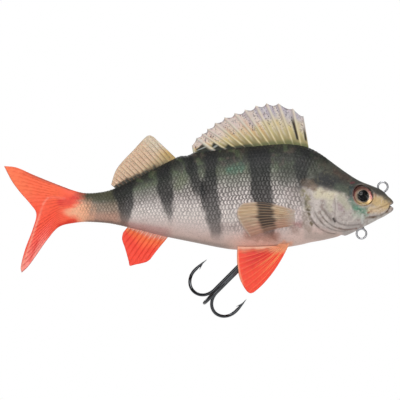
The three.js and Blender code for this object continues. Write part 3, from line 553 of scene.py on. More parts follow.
def body_grid():
    """Rings of points round the body and out over the tail fin. Each ring runs from the belly up the
    left flank to the back ridge and down the right flank. Also the facts that relief and paint use."""
    backs = np.concatenate([
        np.arange(-NOSE_ROUND + 0.01, 6, NOSE_STEP),
        np.arange(6, 36, HEAD_STEP),
        np.arange(36, TAIL_FRONT_BACK, FLANK_STEP),
        [TAIL_FRONT_BACK],
    ])
    dense = np.linspace(-math.pi / 2, math.pi / 2, 721)
    rows = []
    for back in backs:
        at = max(back, 0.0)
        shrink = math.sqrt(max(0.0, 1 - (min(back, 0.0) / NOSE_ROUND) ** 2))
        s, c = np.sin(dense), np.cos(dense)
        power = 2 / np.where(s > 0, BACK_FULLNESS, BELLY_FULLNESS)
        widest = outline(at, WIDEST)
        reach = np.where(s > 0, outline(at, TOP) - widest, widest - outline(at, BOTTOM)) * shrink
        side = outline(at, HALF_WIDTH) * shrink * np.abs(c) ** power
        height = widest + reach * np.sign(s) * np.abs(s) ** power
        run = np.concatenate([[0], np.cumsum(np.hypot(np.diff(side), np.diff(height)))])
        wanted = np.linspace(0, run[-1], HALF_RING + 1)
        arc = wanted - np.interp(0.0, dense, run)
        rows.append((np.full(wanted.shape, back), np.interp(wanted, run, side),
                     np.interp(wanted, run, height), arc))
    back, side, height, arc = (np.array(column) for column in zip(*rows))
    side[:, [0, -1]] = 0
    return back, side, height, arc


def coons(edges, across, out):
    """A point between the four edges of a fin: across runs along the root, out from root to margin."""
    root, margin, first, last = edges
    a, o = np.asarray(across)[..., None], np.asarray(out)[..., None]
    r0, r1, m0, m1 = root(np.zeros(1)), root(np.ones(1)), margin(np.zeros(1)), margin(np.ones(1))
    corners = (1 - a) * (1 - o) * r0 + a * (1 - o) * r1 + (1 - a) * o * m0 + a * o * m1
    return (1 - o) * root(across) + o * margin(across) + (1 - a) * first(out) + a * last(out) - corners


def rounded_rim(flat, radius):
    """How much of its thickness a sheet keeps near its two sides and its margin."""
    rims = flat[:, :1], flat[:, -1:], flat[-1:]
    distance = np.min([np.linalg.norm(flat - rim, axis=-1) for rim in rims], axis=0)
    return np.sqrt(1 - (1 - np.clip(distance / radius, 0, 1)) ** 2)


def tail_grid(root_side, root_height):
    """The tail fin's half grid, one row for each step out from the peduncle's last half ring: back,
    height, half thickness, lean, and how far across, out and past the fold each point is."""
    front, top, bottom = TAIL_FRONT_BACK, root_height[-1], root_height[0]
    edges = (
        lambda t: np.stack([np.full(np.shape(t), front), top + (bottom - top) * np.asarray(t)], -1),
        lambda t: spline(TAIL_MARGIN, t),
        lambda t: spline([(front, top)] + TAIL_UPPER_EDGE + TAIL_MARGIN[:1], t),
        lambda t: spline([(front, bottom)] + TAIL_LOWER_EDGE + TAIL_MARGIN[-1:], t),
    )
    outs = 1 - (1 - np.linspace(0, 1, TAIL_ROWS + 1)[1:]) ** TAIL_CROWDING
    across, out = np.broadcast_arrays(((top - root_height) / (top - bottom))[None, :], outs[:, None])
    flat = coons(edges, across, out)
    rim = rounded_rim(flat, TAIL_RIM)
    thin = ease(0, TAIL_THINNING, flat[..., 0] - front)
    rays = np.cos(2 * np.pi * TAIL_RAYS * across) * TAIL_RAY_HEIGHT * ease(0.1, 0.35, out) * ease(1, 0.8, out)
    half = root_side[None, :] * (1 - thin) + TAIL_THICKNESS / 2 * rim * thin + rays * rim * thin
    fold = TAIL_FOLD_BOTTOM - TAIL_FOLD_TOP
    along = fold / np.linalg.norm(fold)
    offset = flat - TAIL_FOLD_TOP
    comes_in = ease(0, TAIL_FOLD_FADE, offset @ along)
    past = offset @ np.array([-along[1], along[0]])
    softened = 0.5 * (past + np.sqrt(past**2 + TAIL_FOLD_ROUND**2))
    lean = -softened * math.tan(TAIL_FOLD_ANGLE) * comes_in
    return flat[..., 0], flat[..., 1], half, lean, across, out, past, comes_in


def belly_to_back(back, height):
    """0 on the belly line and 1 on the back ridge."""
    inside = np.clip(back, 0, BODY_END)
    bottom = outline(inside, BOTTOM)
    return (height - bottom) / (outline(inside, TOP) - bottom)


def scale_place(back, arc):
    """Where each point lies among the scales, counted in columns and in rows."""
    run, step = np.linspace(-1, 152, 1531, retstep=True)
    columns = np.cumsum(step / read_off(run, SCALE_LENGTHS))
    climb = np.cumsum(step * read_off(run, SCALE_CLIMB))
    row = (arc - np.interp(back, run, climb)) / read_off(back, SCALE_HEIGHTS)
    return np.interp(back, run, columns), row


def scale_relief(column, row):
    """Each scale rises towards its rounded rear rim and drops to the next one's front."""
    nearest = np.round(row)
    aside = row - nearest
    along = (column + 0.5 * nearest - np.sqrt(1 - (aside / SCALE_CURVE) ** 2)) % 1
    return SCALE_RELIEF * ease(0, 0.7, along) * ease(1, 0.85, along) * ease(0.5, 0.35, np.abs(aside))


def scaled_region(back, height):
    """1 where the skin has scales, and 0 on the head and the tail fin."""
    distance, side, _ = near_path(smooth_path(SCALE_EDGE, 40), back, height)
    distance = distance + 0.8 * blotches(back, height, 1.4, 61)
    over_belly = height - outline(np.clip(back, 0, BODY_END), BOTTOM)
    bare = 6.5 * ease(132, 96, back)
    behind_head = ease(0.2, 1.4, -side * distance)
    return behind_head * ease(149.0, 142.0, back) * ease(bare - 3, bare + 4, over_belly)


def scale_show(back, height, paint):
    """How strongly the painted scales stand out, which is less on dark paint."""
    share = belly_to_back(back, height) + 0.03 * blotches(back, height, 3.0, 62)
    dark = np.interp(paint.mean(-1), [0.03, 0.14], [0.8, 1.0])
    show = read_off(share, SCALE_SHOW) * read_off(back, SCALE_SHOW_BACK) * dark
    return show * (1 + 0.25 * blotches(back, height, 2.2, 63))


def head_relief(back, height):
    """Plates, folds and lips of the head, as millimetres out of the plain skin."""
    def near(path, steps):
        distance, side, along = near_path(smooth_path(path, steps), back, height)
        return distance, side * distance, along

    distance, inside, along = near(GILL_EDGE, 30)
    relief = 0.55 * ease(-0.5, 0.4, inside) * ease(12, 1.5, inside) * ease(0, 0.12, along)
    relief -= 0.25 * bell(inside + 0.7, 0.8)
    distance, inside, along = near(CHEEK_EDGE, 30)
    plate = 0.4 * ease(-0.3, 0.3, inside) * ease(7, 0.8, inside) - 0.3 * bell(distance, 0.45)
    relief += plate * ease(0, 0.15, along) * ease(1.0, 0.85, along)
    for fold in GILL_FOLDS:
        distance, inside, along = near(fold, 16)
        ridge = 0.24 * bell(inside - 0.45, 0.5) - 0.28 * bell(inside + 0.3, 0.4)
        relief += ridge * ease(0, 0.2, along) * ease(1, 0.8, along)
    distance, _, along = near(LIP_LINE, 16)
    relief -= 0.15 * bell(distance, 0.4) * ease(1.0, 0.75, along)
    distance, _, along = near(MOUTH_LINE, 30)
    tip = ease(2.6, 0.6, back)
    mouth = 0.18 * bell(distance - 0.85, 0.5) - (0.5 + 1.3 * tip) * bell(distance, 0.42 + 0.3 * tip)
    relief += mouth * ease(1.0, 0.8, along)
    relief += 0.35 * bell(near_path(CHIN_BEAD, back, height)[0], 0.9)
    return relief * ease(52, 44, back)


def eye_seat(side):
    """The eye's place on the flank, and its directions out, up and forward, in back, side and height."""
    step = 0.5
    along_slope = (flank(EYE_BACK + step, EYE_HEIGHT) - flank(EYE_BACK - step, EYE_HEIGHT)) / (2 * step)
    up_slope = (flank(EYE_BACK, EYE_HEIGHT + step) - flank(EYE_BACK, EYE_HEIGHT - step)) / (2 * step)
    out = np.array([-along_slope, side, -up_slope])
    out /= np.linalg.norm(out)
    up = np.array([0.0, 0.0, 1.0])
    up -= out * (up @ out)
    up /= np.linalg.norm(up)
    fore = np.array([-1.0, 0.0, 0.0])
    fore -= out * (fore @ out) + up * (fore @ up)
    fore /= np.linalg.norm(fore)
    place = np.array([EYE_BACK, side * flank(EYE_BACK, EYE_HEIGHT), EYE_HEIGHT])
    return place, out, up, fore


def body_paint(back, height):
    """The airbrushed colours of the skin, with painted shade along the belly's underside and behind the gill
    cover.
    """
    share = belly_to_back(back, height)
    wave = ripple(back, height, 9, 3)
    fine = ripple(back, height, 3.1, 5)
    paint = graded(FLANK_GRADE, share + 0.02 * wave)
    low = ease(0.24, 0.04, share)
    coat(
        paint,
        # Belly: warmest between the pelvic fins, greyer along its underside behind them, which is painted
        # shade, and rosy ahead of the anal fin
        ((234, 184, 166), low * ease(50, 58, back) * ease(80, 68, back) * 0.65),
        ((222, 194, 184), low * ease(54, 44, back) * 0.8),
        # Painted shade along the underside behind the pelvic fins
        ((150, 136, 130), ease(0.07, 0.01, share) * ease(72, 80, back) * 0.7),
        ((178, 128, 124), ease(0.18, 0.08, share) * ease(100, 106, back) * 0.6),
    )
    blur, lean = back + wave, height + fine
    spray(
        paint, blur, lean,
        # Flesh tones that show through round the pectoral fin, and painted shadow behind the gill cover's upper
        # edge
        ((154, 102, 82), [(66.6, -12.6), (60.0, -13.2), (55.0, -13.6)], 0.8, 3.6, 0.6),
        ((132, 86, 70), [(56.6, -11.8), (55.4, -13.6)], 0.2, 2.4, 0.5),
        ((192, 170, 170), [(43.8, -1.5), (43.4, -6.0)], 0.8, 2.0, 0.5),
        ((226, 152, 112), [(51.0, -17.4), (47.8, -17.0)], 0.3, 2.0, 0.6),
        ((160, 100, 98), [(45.4, -7.6), (43.4, -8.2)], 0.2, 2.2, 0.6),
        ((164, 152, 148), [(48.6, 7.0), (47.2, 2.6), (47.0, -1.0)], 0.8, 2.6, 0.5),
        # Painted shadow just behind the gill cover's upper edge
        ((128, 118, 112), [(45.8, 8.4), (43.6, 4.6), (42.8, 2.0)], 0.6, 2.2, 0.55),
        ((150, 118, 106), [(46.4, -9.0), (45.0, -11.0)], 0.4, 2.2, 0.5),
        ((172, 154, 148), [(80.0, -9.6), (72.0, -8.8)], 0.6, 3.2, 0.5),
    )
    rear = ease(84, 92, back) * ease(124, 116, back)
    green = ease(0.08, 0.0, np.abs(share - 0.78 + 0.02 * wave)) * ease(40, 46, back)
    nape = ease(0.5, 0.72, share) * ease(58, 50, back) * ease(36, 42, back)
    coat(
        paint,
        # Greyer flanks behind, an olive sheen high on them, and a dark nape
        ((110, 108, 101), rear * ease(0.4, 0.58, share) * ease(0.8, 0.7, share) * 0.4),
        ((98, 112, 88), green * 0.35),
        ((52, 54, 49), nape * 0.7),
    )
    # Sea-green patch behind the second bar, and olive behind the fourth
    sea = 0.45 + 0.25 * blotches(back, height, 1.7, 64)
    spray(paint, blur, lean, ((78, 132, 112), [(71.0, 18.0), (75.4, 17.0)], 0.4, 3.0, sea))
    spray(paint, back, lean, ((112, 124, 88), [(97.0, 12.5), (99.5, 9.5)], 0.6, 3.0, 0.4))
    dusk = ease(0.66, 0.84, share)
    behind = ease(121, 129, back + 1.2 * wave)
    ridge = ease(0.46, 0.78, share + 0.03 * fine - 0.012 * (back - 132))
    coat(
        paint,
        ((98, 84, 78), dusk * ease(0.1, 0.8, blotches(back, height, 1.5, 65)) * 0.4),
        ((102, 118, 84), dusk * ease(0.1, 0.8, blotches(back, height, 2.0, 66)) * 0.3),
        # Peduncle: dark olive above, rosy tan below, turning peach at the tail
        ((142, 122, 102), behind * ease(0.78, 0.55, share) * 0.85),
        ((192, 148, 130), behind * ease(0.45, 0.2, share) * 0.75),
        ((78, 77, 60), behind * ridge * 0.92),
        ((250, 184, 146), ease(136.0, 144.5, back + 1.5 * fine) * ease(0.9, 0.5, share) * 0.9),
    )
    ragged = blotches(back, 0.5 * height, 1.4, 67)
    for rows in BARS:
        heights, middles, halves, strengths = np.array(rows)[::-1].T
        aside = np.abs(back - np.interp(height, heights, middles))
        reach = np.interp(height, heights, halves) + 0.5 * wave + 0.3 * fine + 0.6 * ragged
        bar = ease(BAR_SOFTNESS, -BAR_SOFTNESS, aside - reach)
        coat(paint, (CHARCOAL, bar * np.interp(height, heights, strengths)))
    # Painted shade along the peduncle's underside
    underside_shade = ease(0.12, 0.03, share + 0.02 * fine) * ease(120, 126, back) * ease(144, 139, back)
    coat(paint, ((112, 98, 90), underside_shade * 0.7))
    head_paint(paint, back, height)
    return paint


def head_paint(paint, back, height):
    """The head's colours, laid over the body's, with painted shade by its plate edges, slits, mouth and throat
    and across the top of the eye's socket.
    """
    def patches(pitch, seed):
        return blotches(back, height, pitch, seed)

    drift = 0.7 * patches(2.6, 31) + 0.35 * patches(1.1, 32)
    lift = 0.7 * patches(2.6, 33) + 0.35 * patches(1.1, 34)
    patchy = 0.75 + 0.5 * patches(1.3, 35)
    specks = 0.55 + 0.6 * patches(0.7, 40)

    def strokes(*rows):
        """Sprays strokes, each after how loosely its edge follows its path."""
        for loose, *stroke in rows:
            spray(paint, back + loose * drift, height + loose * lift, stroke)

    distance, side, _ = near_path(smooth_path(SCALE_EDGE, 40), back, height)
    cheek = ease(-0.9, 1.4, side * distance + 0.8 * patches(1.4, 61))
    distance, above, _ = near_path(smooth_path(CROWN_EDGE, 40), back + 0.5 * drift, height + 0.5 * lift)
    crown = ease(-3.0, 1.6, above * distance)
    coat(paint, ((184, 174, 169), cheek * (1 - crown)), ((72, 72, 67), cheek * crown * 0.95))
    strokes(
        # Crown and nape
        (1, (92, 92, 78), [(34.0, 21.0), (26.0, 16.0)], 0.5, 2.4, 0.3 * patchy),
        (1, (54, 55, 58), [(35.0, 12.6), (30.6, 12.2), (27.0, 10.8)], 0.6, 3.4, 0.75),
        (1, (92, 70, 64), [(27.0, 16.6), (21.0, 12.8)], 0.3, 2.2, 0.5 * patchy),
        (1, (58, 59, 54), [(37.6, 19.4), (36.6, 15.2)], 0.7, 2.9, 0.7),
        (1, (118, 102, 90), [(39.0, 11.6), (37.0, 9.4)], 0.5, 1.9, 0.7),
        (1, (98, 87, 78), [(42.0, 11.0), (40.0, 9.4)], 0.6, 1.7, 0.85),
        (1, (138, 118, 102), [(38.6, 9.0), (36.6, 8.2)], 0.3, 1.5, 0.6),
        (1, (88, 96, 84), [(25.4, 9.4), (21.6, 7.0)], 0.6, 2.8, 0.75),
        # Cheek and gill cover
        (1, (214, 205, 177), [(35.0, 6.0), (28.6, 5.4)], 0.6, 3.4, 0.8),
        (1, (180, 179, 153), [(24.6, 4.0), (22.8, 1.8), (22.0, 0.4)], 0.5, 3.0, 0.6),
        (1, (208, 204, 178), [(30.2, 2.4), (29.6, -1.0)], 0.4, 2.0, 0.5),
        # Painted shade behind the cheek plate's edge
        (1, (156, 148, 142), [(31.6, 0.0), (30.2, -3.2), (28.8, -5.4)], 0.4, 1.6, 0.45),
        (1, (206, 196, 190), [(36.0, 1.8), (34.6, -3.0), (31.4, -6.6)], 0.4, 1.7, 0.65),
        (1, (210, 200, 194), [(27.2, 5.0), (26.6, -3.4)], 0.2, 1.4, 0.45),
        (1, (200, 188, 182), [(33.8, -7.2), (29.2, -9.6), (24.0, -10.4)], 0.8, 2.0, 0.6),
        (1, (138, 130, 100), [(41.4, 7.0), (40.4, 3.4), (39.9, 0.0)], 0.4, 1.7, specks + 0.1),
        (1, (116, 104, 84), [(40.0, -1.0), (39.6, -5.0), (37.8, -8.4)], 0.2, 1.3, specks),
        # Painted shadow behind the gill cover's lower edge
        (1, (142, 126, 112), [(41.6, -2.6), (41.2, -8.0), (39.0, -10.6)], 0.4, 1.8, 0.55),
        # Painted shade behind the cheek plate's edge
        (1, (146, 134, 128), [(33.6, 1.4), (31.8, -2.2), (29.4, -4.6)], 0.2, 1.3, 0.4),
        # Painted shade along the throat's underside
        (1, (176, 160, 151), [(40.0, -13.0), (33.6, -13.6), (28.0, -13.8)], 0.8, 2.4, 0.6),
        (1, (168, 138, 150), [(24.9, 0.6), (24.2, -1.8)], 0.2, 1.1, 0.4),
        # Round the eye
        (0.6, (58, 70, 72), [(19.5, 9.2), (19.4, 6.4), (19.0, 4.0)], 0.2, 1.8, 0.7),
        (0.5, (92, 122, 106), [(19.6, 3.0), (18.2, 0.4)], 0.3, 2.0, 0.7),
        (0.5, (104, 124, 106), [(18.6, 0.6), (16.4, -0.4), (13.6, -0.6)], 0.4, 1.6, 0.5),
        (0.5, (98, 150, 126), [(17.0, -0.8), (14.6, -1.9), (12.2, -2.1)], 0.6, 2.3, 0.4 + 0.35 * patchy),
        (0.5, (74, 104, 86), [(16.4, -0.8), (13.2, -2.8)], 0.1, 0.9, 0.6 * patchy),
        (0.6, (160, 176, 156), [(17.8, -3.6), (13.6, -4.8)], 0.4, 2.0, 0.5),
        (0.5, (118, 58, 68), [(19.6, 10.8), (18.2, 11.2)], 0.1, 1.0, 0.6),
        (0.5, (172, 78, 84), [(8.7, 5.6), (8.9, 3.2)], 0.1, 0.9, 0.55),
        # Snout, lips and lower jaw
        (0.4, (206, 178, 128), [(9.0, 3.0), (6.0, 2.2), (3.6, 1.2)], 1.0, 3.0, 0.9),
        (0.5, (216, 190, 152), [(10.4, -1.4), (5.4, -1.4)], 0.7, 2.0, 0.8),
        (0.4, (80, 76, 70), [(10.2, 8.8), (6.6, 7.6), (3.6, 5.8)], 0.5, 2.0, 0.75),
        (0.4, (104, 96, 80), [(3.6, 4.2), (1.0, 3.0)], 0.3, 1.7, 0.75),
        (0.4, (210, 205, 198), [(3.6, -3.8), (8.0, -6.6), (12.6, -8.2)], 0.8, 1.6, 0.85),
    )
    # Rim of the eye's socket: dark brown above, which is painted shade, rosy behind, amber below
    around = np.arctan2(height - EYE_HEIGHT, back - EYE_BACK)
    rim = ease(0.8, 0.2, np.abs(np.hypot(back - EYE_BACK, height - EYE_HEIGHT) - 4.7))
    coat(
        paint,
        ((186, 142, 100), rim * ease(0.0, -0.7, np.sin(around)) * 0.7),
        ((164, 96, 90), rim * ease(0.2, 0.8, np.cos(around)) * 0.7),
        ((64, 48, 42), rim * ease(0.3, 0.8, np.sin(around)) * 0.8),
    )
    # Mottling all over the head
    head = cheek * ease(44, 40, back)
    for colour, low, pitch, seed, where, strength in (
            ((132, 108, 102), 0.25, 1.0, 36, 1 - crown, 0.4), ((222, 214, 204), 0.3, 0.9, 37, 1 - crown, 0.4),
            ((122, 118, 100), 0.3, 1.0, 38, crown, 0.3), ((48, 44, 44), 0.3, 0.9, 39, crown, 0.4)):
        coat(paint, (colour, head * ease(low, 0.9, patches(pitch, seed)) * where * strength))
    strokes(
        # Mouth, lips and chin
        # Painted shade in the mouth's groove
        (0, (108, 84, 62), MOUTH_LINE, 0.15, 0.7, 0.9 * patchy),
        (0, (150, 118, 84), LIP_LINE, 0.1, 0.5, 0.5 * patchy),
        (0, (150, 84, 70), [(5.0, -0.8), (9.0, -2.0), (12.2, -2.6)], 0.1, 0.6, 0.8 * ease(0.8, 1.1, patchy)),
        (0, (206, 208, 204), CHIN_BEAD, 0.2, 0.8, 0.6),
        # Painted shade in the notch at the mouth's tip
        (0, (70, 62, 50), [(0.8, 0.4), (1.8, -0.8)], 0.1, 0.4, 0.8),
        # Gill cover's rear edge, cheek line and folds
        # Painted shade along the gill cover's rear edge
        (0, (70, 68, 54), smooth_path(GILL_EDGE[3:8], 16), 0.1, 1.1, 0.9 * ease(0.0, 0.7, patchy - 0.6)),
        # Painted shade in the gill slit at the cheek's edge
        (0, (52, 44, 44), [(27.9, -5.3), (27.2, -6.4)], 0.2, 0.7, 0.9),
        # Painted shade along the cheek plate's edge
        (0, (138, 126, 122), smooth_path(CHEEK_EDGE[1:], 16), 0.05, 0.6, 0.55),
        (0, (122, 88, 78), [(25.4, -9.3), (22.2, -10.2), (17.0, -9.7)], 0.1, 0.5, 0.7 * patchy),
    )
    for fold in GILL_FOLDS:
        distance, _, along = near_path(smooth_path(fold, 12), back, height)
        fade = ease(0, 0.25, along) * ease(1, 0.75, along)
        coat(paint, ((116, 104, 96), ease(0.7, 0.05, distance) * fade * 0.7 * patchy))


def tail_paint(paint, back, height, across, past, out, comes_in):
    """The tail fin's colours, which start on the peduncle, with a painted highlight along the fold and painted
    shade ahead of its lower part. Gives how strongly its dark rays show.
    """
    wave = ripple(back, height, 5, 11)
    fine = ripple(back, height, 1.6, 12)
    torn = blotches(back, 2.2 * height, 2.2, 71)
    drawn = height + 0.8 * torn
    tongue = 6.5 * bell(drawn + 2.0, 2.4)
    on_fin = ease(150, 157, back)
    coat(
        paint,
        ((250, 100, 72), ease(141.0, 149.5, back - tongue + 0.8 * wave + 0.8 * torn)),
        ((252, 112, 74), ease(0.45, 0.2, across + 0.05 * wave) * on_fin * 0.7),
        ((250, 88, 66), ease(0.42, 0.6, across + 0.04 * wave) * on_fin * 0.6),
        ((254, 134, 92), ease(0.6, 1.0, out + 0.1 * wave) * ease(0.5, 0.1, across) * 0.6),
        ((254, 118, 108), ease(0.62, 0.85, across) * ease(0.2, 0.5, out) * 0.6),
        ((250, 90, 68), ease(-0.4, 0.8, past) * comes_in * 0.85),
        ((252, 156, 144), ease(0.8, 1.0, across) * ease(0.3, 0.6, out) * 0.8),
        # Painted highlight along the crest of the fold
        ((252, 166, 144), bell(past - 0.1, 0.5) * comes_in * 0.75),
    )
    patch = 0.85 + 0.3 * blotches(0.4 * back, height, 0.8, 72)
    for up, *stroke in (
            (drawn, (250, 178, 142), [(144.0, -1.2), (150.0, -2.2)], 0.1, 1.8, 0.4 * patch),
            (drawn, (222, 66, 62), [(146.4, 4.4), (149.4, 3.4), (153.6, 2.2)], 0.3, 2.8, 0.8 * patch),
            # Painted highlight at the top of the fold
            (height, (252, 146, 124), [(161.9, 1.2), (160.6, 3.2), (159.6, 4.2)], 0.05, 0.7, 0.7),
            (height, (250, 128, 110), [(159.6, 4.2), (157.0, 4.6), (152.0, 4.0)], 0.1, 1.0, 0.4),
            # Painted shade: a dark red line ahead of the fold's lower part, at the foot of its step
            (height, (226, 44, 40), [(164.6, -16.0), (168.0, -25.0)], 0.1, 1.0, 0.5),
            (drawn, (226, 52, 38), [(147.5, -6.6), (154.0, -8.6)], 0.4, 1.8, 0.7)):
        spray(paint, back, up, stroke)
    edge = ease(0.07, 0.0, across) * ease(176, 162, back) * ease(142, 146, back)
    coat(paint, ((168, 78, 60), edge * 0.85))
    # The rays show most on the middle of the fin and between the fold and the lower edge
    ahead = ease(0.6, -0.6, past) * comes_in * ease(0.5, 0.66, across)
    middle = ease(0.3, 0.45, across) * ease(0.7, 0.5, across) * ease(0.7, 0.3, out)
    return np.clip(0.06 + 0.48 * ahead + 0.3 * middle + 0.3 * fine, 0, 1) * ease(148, 156, back)


def make_body():
    """The three skins: nose to rear body, rear body to peduncle, and peduncle with the tail fin."""
    half_back, side, half_height, arc = body_grid()
    tail = tail_grid(side[-1], half_height[-1])
    tail_back, tail_height, tail_half, lean = tail[:4]

    def ring(half):
        """Full rings: the left half from belly to ridge, then the right half back down."""
        return np.concatenate([half, half[:, -2:0:-1]], axis=1)

    back = ring(np.vstack([half_back, tail_back]))
    height = ring(np.vstack([half_height, tail_height]))
    n_body = len(half_back)
    halves = side.shape[1]
    across_side = ring(np.vstack([side, tail_half]))
    across_side[:, halves:] *= -1
    across_side[n_body:] += ring(lean)
    points = np.stack([back, across_side, height], axis=-1)
    # Outward directions of the plain skin
    along_ring = np.roll(points, -1, axis=1) - np.roll(points, 1, axis=1)
    normal = np.cross(along_ring, np.gradient(points, axis=0))
    normal /= np.maximum(np.linalg.norm(normal, axis=-1, keepdims=True), 1e-9)
    if normal[n_body // 2, halves // 2, 1] < 0:
        normal = -normal
    on_body = (np.arange(len(back)) < n_body)[:, None]
    column, row = scale_place(back, np.vstack([ring(arc), np.zeros((len(tail_back), back.shape[1]))]))
    scaled = np.where(on_body, scaled_region(back, height), 0.0)
    relief = scale_relief(column, row) * scaled + np.where(on_body, head_relief(back, height), 0.0)
    points = points + normal * relief[..., None]
    for which in (1, -1):
        sink_socket(points, which)

    def with_body(value, half):
        """A tail value on all rings, with its value on the body ahead of it."""
        return np.vstack([np.broadcast_to(value, (n_body, back.shape[1])), ring(half)])

    paint = body_paint(back, height)
    tail_across, tail_out, past, comes_in = tail[4:]
    ends = outline(half_back[-1, 0], TOP), outline(half_back[-1, 0], BOTTOM)
    across = with_body(np.clip((ends[0] - height[:n_body]) / (ends[0] - ends[1]), 0, 1), tail_across)
    streak = tail_paint(paint, back, height, across, with_body(-1.0, past), with_body(0.0, tail_out),
                        with_body(0.0, comes_in))
    facts = {
        "column": column, "row": row, "scaled": scaled * scale_show(back, height, paint),
        "ray": across * TAIL_RAYS, "streak": streak, "grain": ease(152, 145, back),
    }
    first = 0
    for name, reach_back, body_a, body_b, bend_back, spread, slot, nodes in SKINS:
        last = int(np.searchsorted(back[:-1, 0], reach_back))
        rows = slice(first, last + 1)
        obj = skin_piece(name, points[rows])
        for key, values in facts.items():
            add_float(obj, key, values[rows])
        add_paint(obj, paint[rows].reshape(-1, 3))
        obj.data.materials.append(skin_material())
        start = Vector(to_row(bend_back - spread, 0, 0))
        end = Vector(to_row(bend_back + spread, 0, 0))
        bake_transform(obj)
        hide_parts(*nodes)
        first = last


def sink_socket(points, side):
    """Sinks the eye's socket into one flank and raises a soft rim round it."""
    place, out, _, _ = eye_seat(side)
    v = points - place
    depth = v @ out
    radial = np.sqrt(np.maximum(np.einsum("ijk,ijk->ij", v, v) - depth**2, 0))
    here = (points[..., 1] * side > 0) & (radial < EYE_RADIUS + 3) & (np.abs(depth) < 6)
    wall = ease(EYE_RADIUS + 0.45, EYE_RADIUS + 0.12, radial)
    shift = wall * (-SOCKET_DEPTH - depth) + (1 - wall) * 0.4 * bell(radial - EYE_RADIUS - 0.75, 0.5)
    points += np.where(here, shift, 0)[..., None] * out


def skin_piece(name, points):
    """A closed stretch of skin, with flat inner ends."""
    rows, columns = points.shape[:2]
    faces = grid_faces(rows, columns, wrap=True)
    sides = len(faces)
    for start in (0, (rows - 1) * columns):
        for k in range(columns // 2):
            a, b = start + k, start + k + 1
            c, d = start + (columns - k - 1) % columns, start + (columns - k) % columns
            quad = [a, b] + ([c] if c != b else []) + ([d] if d != a else [])
            if len(quad) > 2:
                faces.append(tuple(quad) if start else tuple(reversed(quad)))
    return face_out(new_object(name, placed(points).reshape(-1, 3), faces, flat_from=sides))


# Fins

# A sheet's half thickness at its root and margin, how far its root reaches into the body, and how
# many steps across make one ray
FIN_ROOT_HALF = 0.8
FIN_EDGE_HALF = 0.42
FIN_TAB = 1.6
FIN_RAY_STEPS = 12
FIRST_DORSAL_ROOTS = [38.8, 42.4, 46.0, 49.8, 53.4, 56.9, 60.5, 64.3, 68.4, 72.7, 77.3, 82.6, 92.4]
FIRST_DORSAL_TIPS = [
    (41.3, 42.3), (46.2, 45.6), (52.9, 48.1), (58.5, 48.2), (63.4, 47.1), (68.4, 45.2), (73.2, 43.6),
    (77.9, 41.6), (82.4, 39.0), (85.9, 36.3), (88.4, 34.0), (90.9, 32.0), (93.0, 28.4),
]
SECOND_DORSAL = (100.4, 128.4)
SECOND_DORSAL_MARGIN = [
    (110.7, 32.5), (112.6, 33.2), (114.9, 31.9), (120.3, 26.1), (125.3, 20.9), (128.4, 16.5), (130.4, 10.3),
]
ANAL = (104.0, 122.8)
ANAL_LEADING = [(108.8, -19.7)]
ANAL_MARGIN = [
    (112.3, -24.3), (114.4, -25.6), (119.6, -26.8), (121.7, -27.2), (122.3, -25.0), (123.9, -19.2),
    (125.3, -15.0), (124.9, -11.9),
]
PELVIC = (47.9, 53.4)
PELVIC_SPACING = 5.2
PELVIC_FLARE = math.radians(16)
PELVIC_LEADING = [(51.8, -24.3), (56.2, -30.8), (60.8, -36.0)]
PELVIC_MARGIN = [(64.6, -39.2), (66.4, -39.5), (68.4, -37.7), (70.7, -33.2), (71.9, -26.2)]
PELVIC_REAR_BACK = 71.9
PELVIC_DROP = 0.15
PECTORAL_ROOT = [(44.2, -1.8), (44.2, -8.3)]
PECTORAL_UPPER = [(50.8, 0.2), (56.6, 1.6), (63.5, 2.3)]
PECTORAL_MARGIN = [(69.4, 1.8), (71.6, -0.3), (72.3, -3.2), (71.0, -7.0), (68.6, -10.6), (66.2, -13.7)]
PECTORAL_LOWER = [(54.0, -9.9), (60.4, -11.7)]
# The dark bar's heights and middles
PECTORAL_BAR = [(-13.0, -9.8, -7.9, -3.7, 0.9), (56.4, 57.2, 58.3, 59.2, 59.6)]
PECTORAL_BAR_HALF = 3.8
PECTORAL_LIFT = 0.3
PECTORAL_THICKNESS = 0.7


def fin_edges(root, margin, first=(), last=(), even=True):
    """The four edges that coons() takes: root, margin, and the two that join their ends."""
    ends = root(np.array([0.0, 1.0]))
    lead = [tuple(ends[0])] + list(first) + [margin[0]]
    trail = [tuple(ends[1])] + list(last) + [margin[-1]]
    return root, lambda t: spline(margin, t, even), lambda t: spline(lead, t), lambda t: spline(trail, t)


def root_line(front, rear, height_at):
    def root(t):
        back = front + (rear - front) * np.asarray(t, float)
        return np.stack([back, height_at(back)], -1)
    return root


def fin_object(name, edges, rays, place, away, ridge=0.4, scallop=0.0, rows=64, sharp=2.0):
    """A ribbed fin: rays stand proud of a thin web, and its rim is rounded. Gives the object, and how
    far across, out, back and up each point of its grid is."""
    across = np.linspace(0, 1, (rays - 1) * FIN_RAY_STEPS + 1)
    outs = np.concatenate([[-1.0, -0.5], 1 - (1 - np.linspace(0, 1, rows + 1)) ** FIN_CROWDING])
    phase = across * (rays - 1)
    on_ray = (np.cos(2 * np.pi * phase) * 0.5 + 0.5) ** sharp
    sag = scallop * np.abs(np.sin(np.pi * phase)) ** 0.8
    across, out = np.broadcast_arrays(across[None, :], np.maximum(outs, 0)[:, None])
    flat = coons(edges, across, out * (1 - sag[None, :] * out**3))
    flat[..., 1] -= away * FIN_TAB * np.maximum(-outs, 0)[:, None]
    web = FIN_ROOT_HALF + (FIN_EDGE_HALF - FIN_ROOT_HALF) * out**0.8
    half = web * 0.72 + ridge * on_ray[None, :] * (1 - 0.55 * out)
    half = half * (0.12 + 0.88 * rounded_rim(flat, 0.55))
    back, height = flat[..., 0], flat[..., 1]
    obj = sheet_object(name, place(back, height, half), place(back, height, -half))
    mark_rays(obj, across, out, rays)
    return obj, across, out, back, height


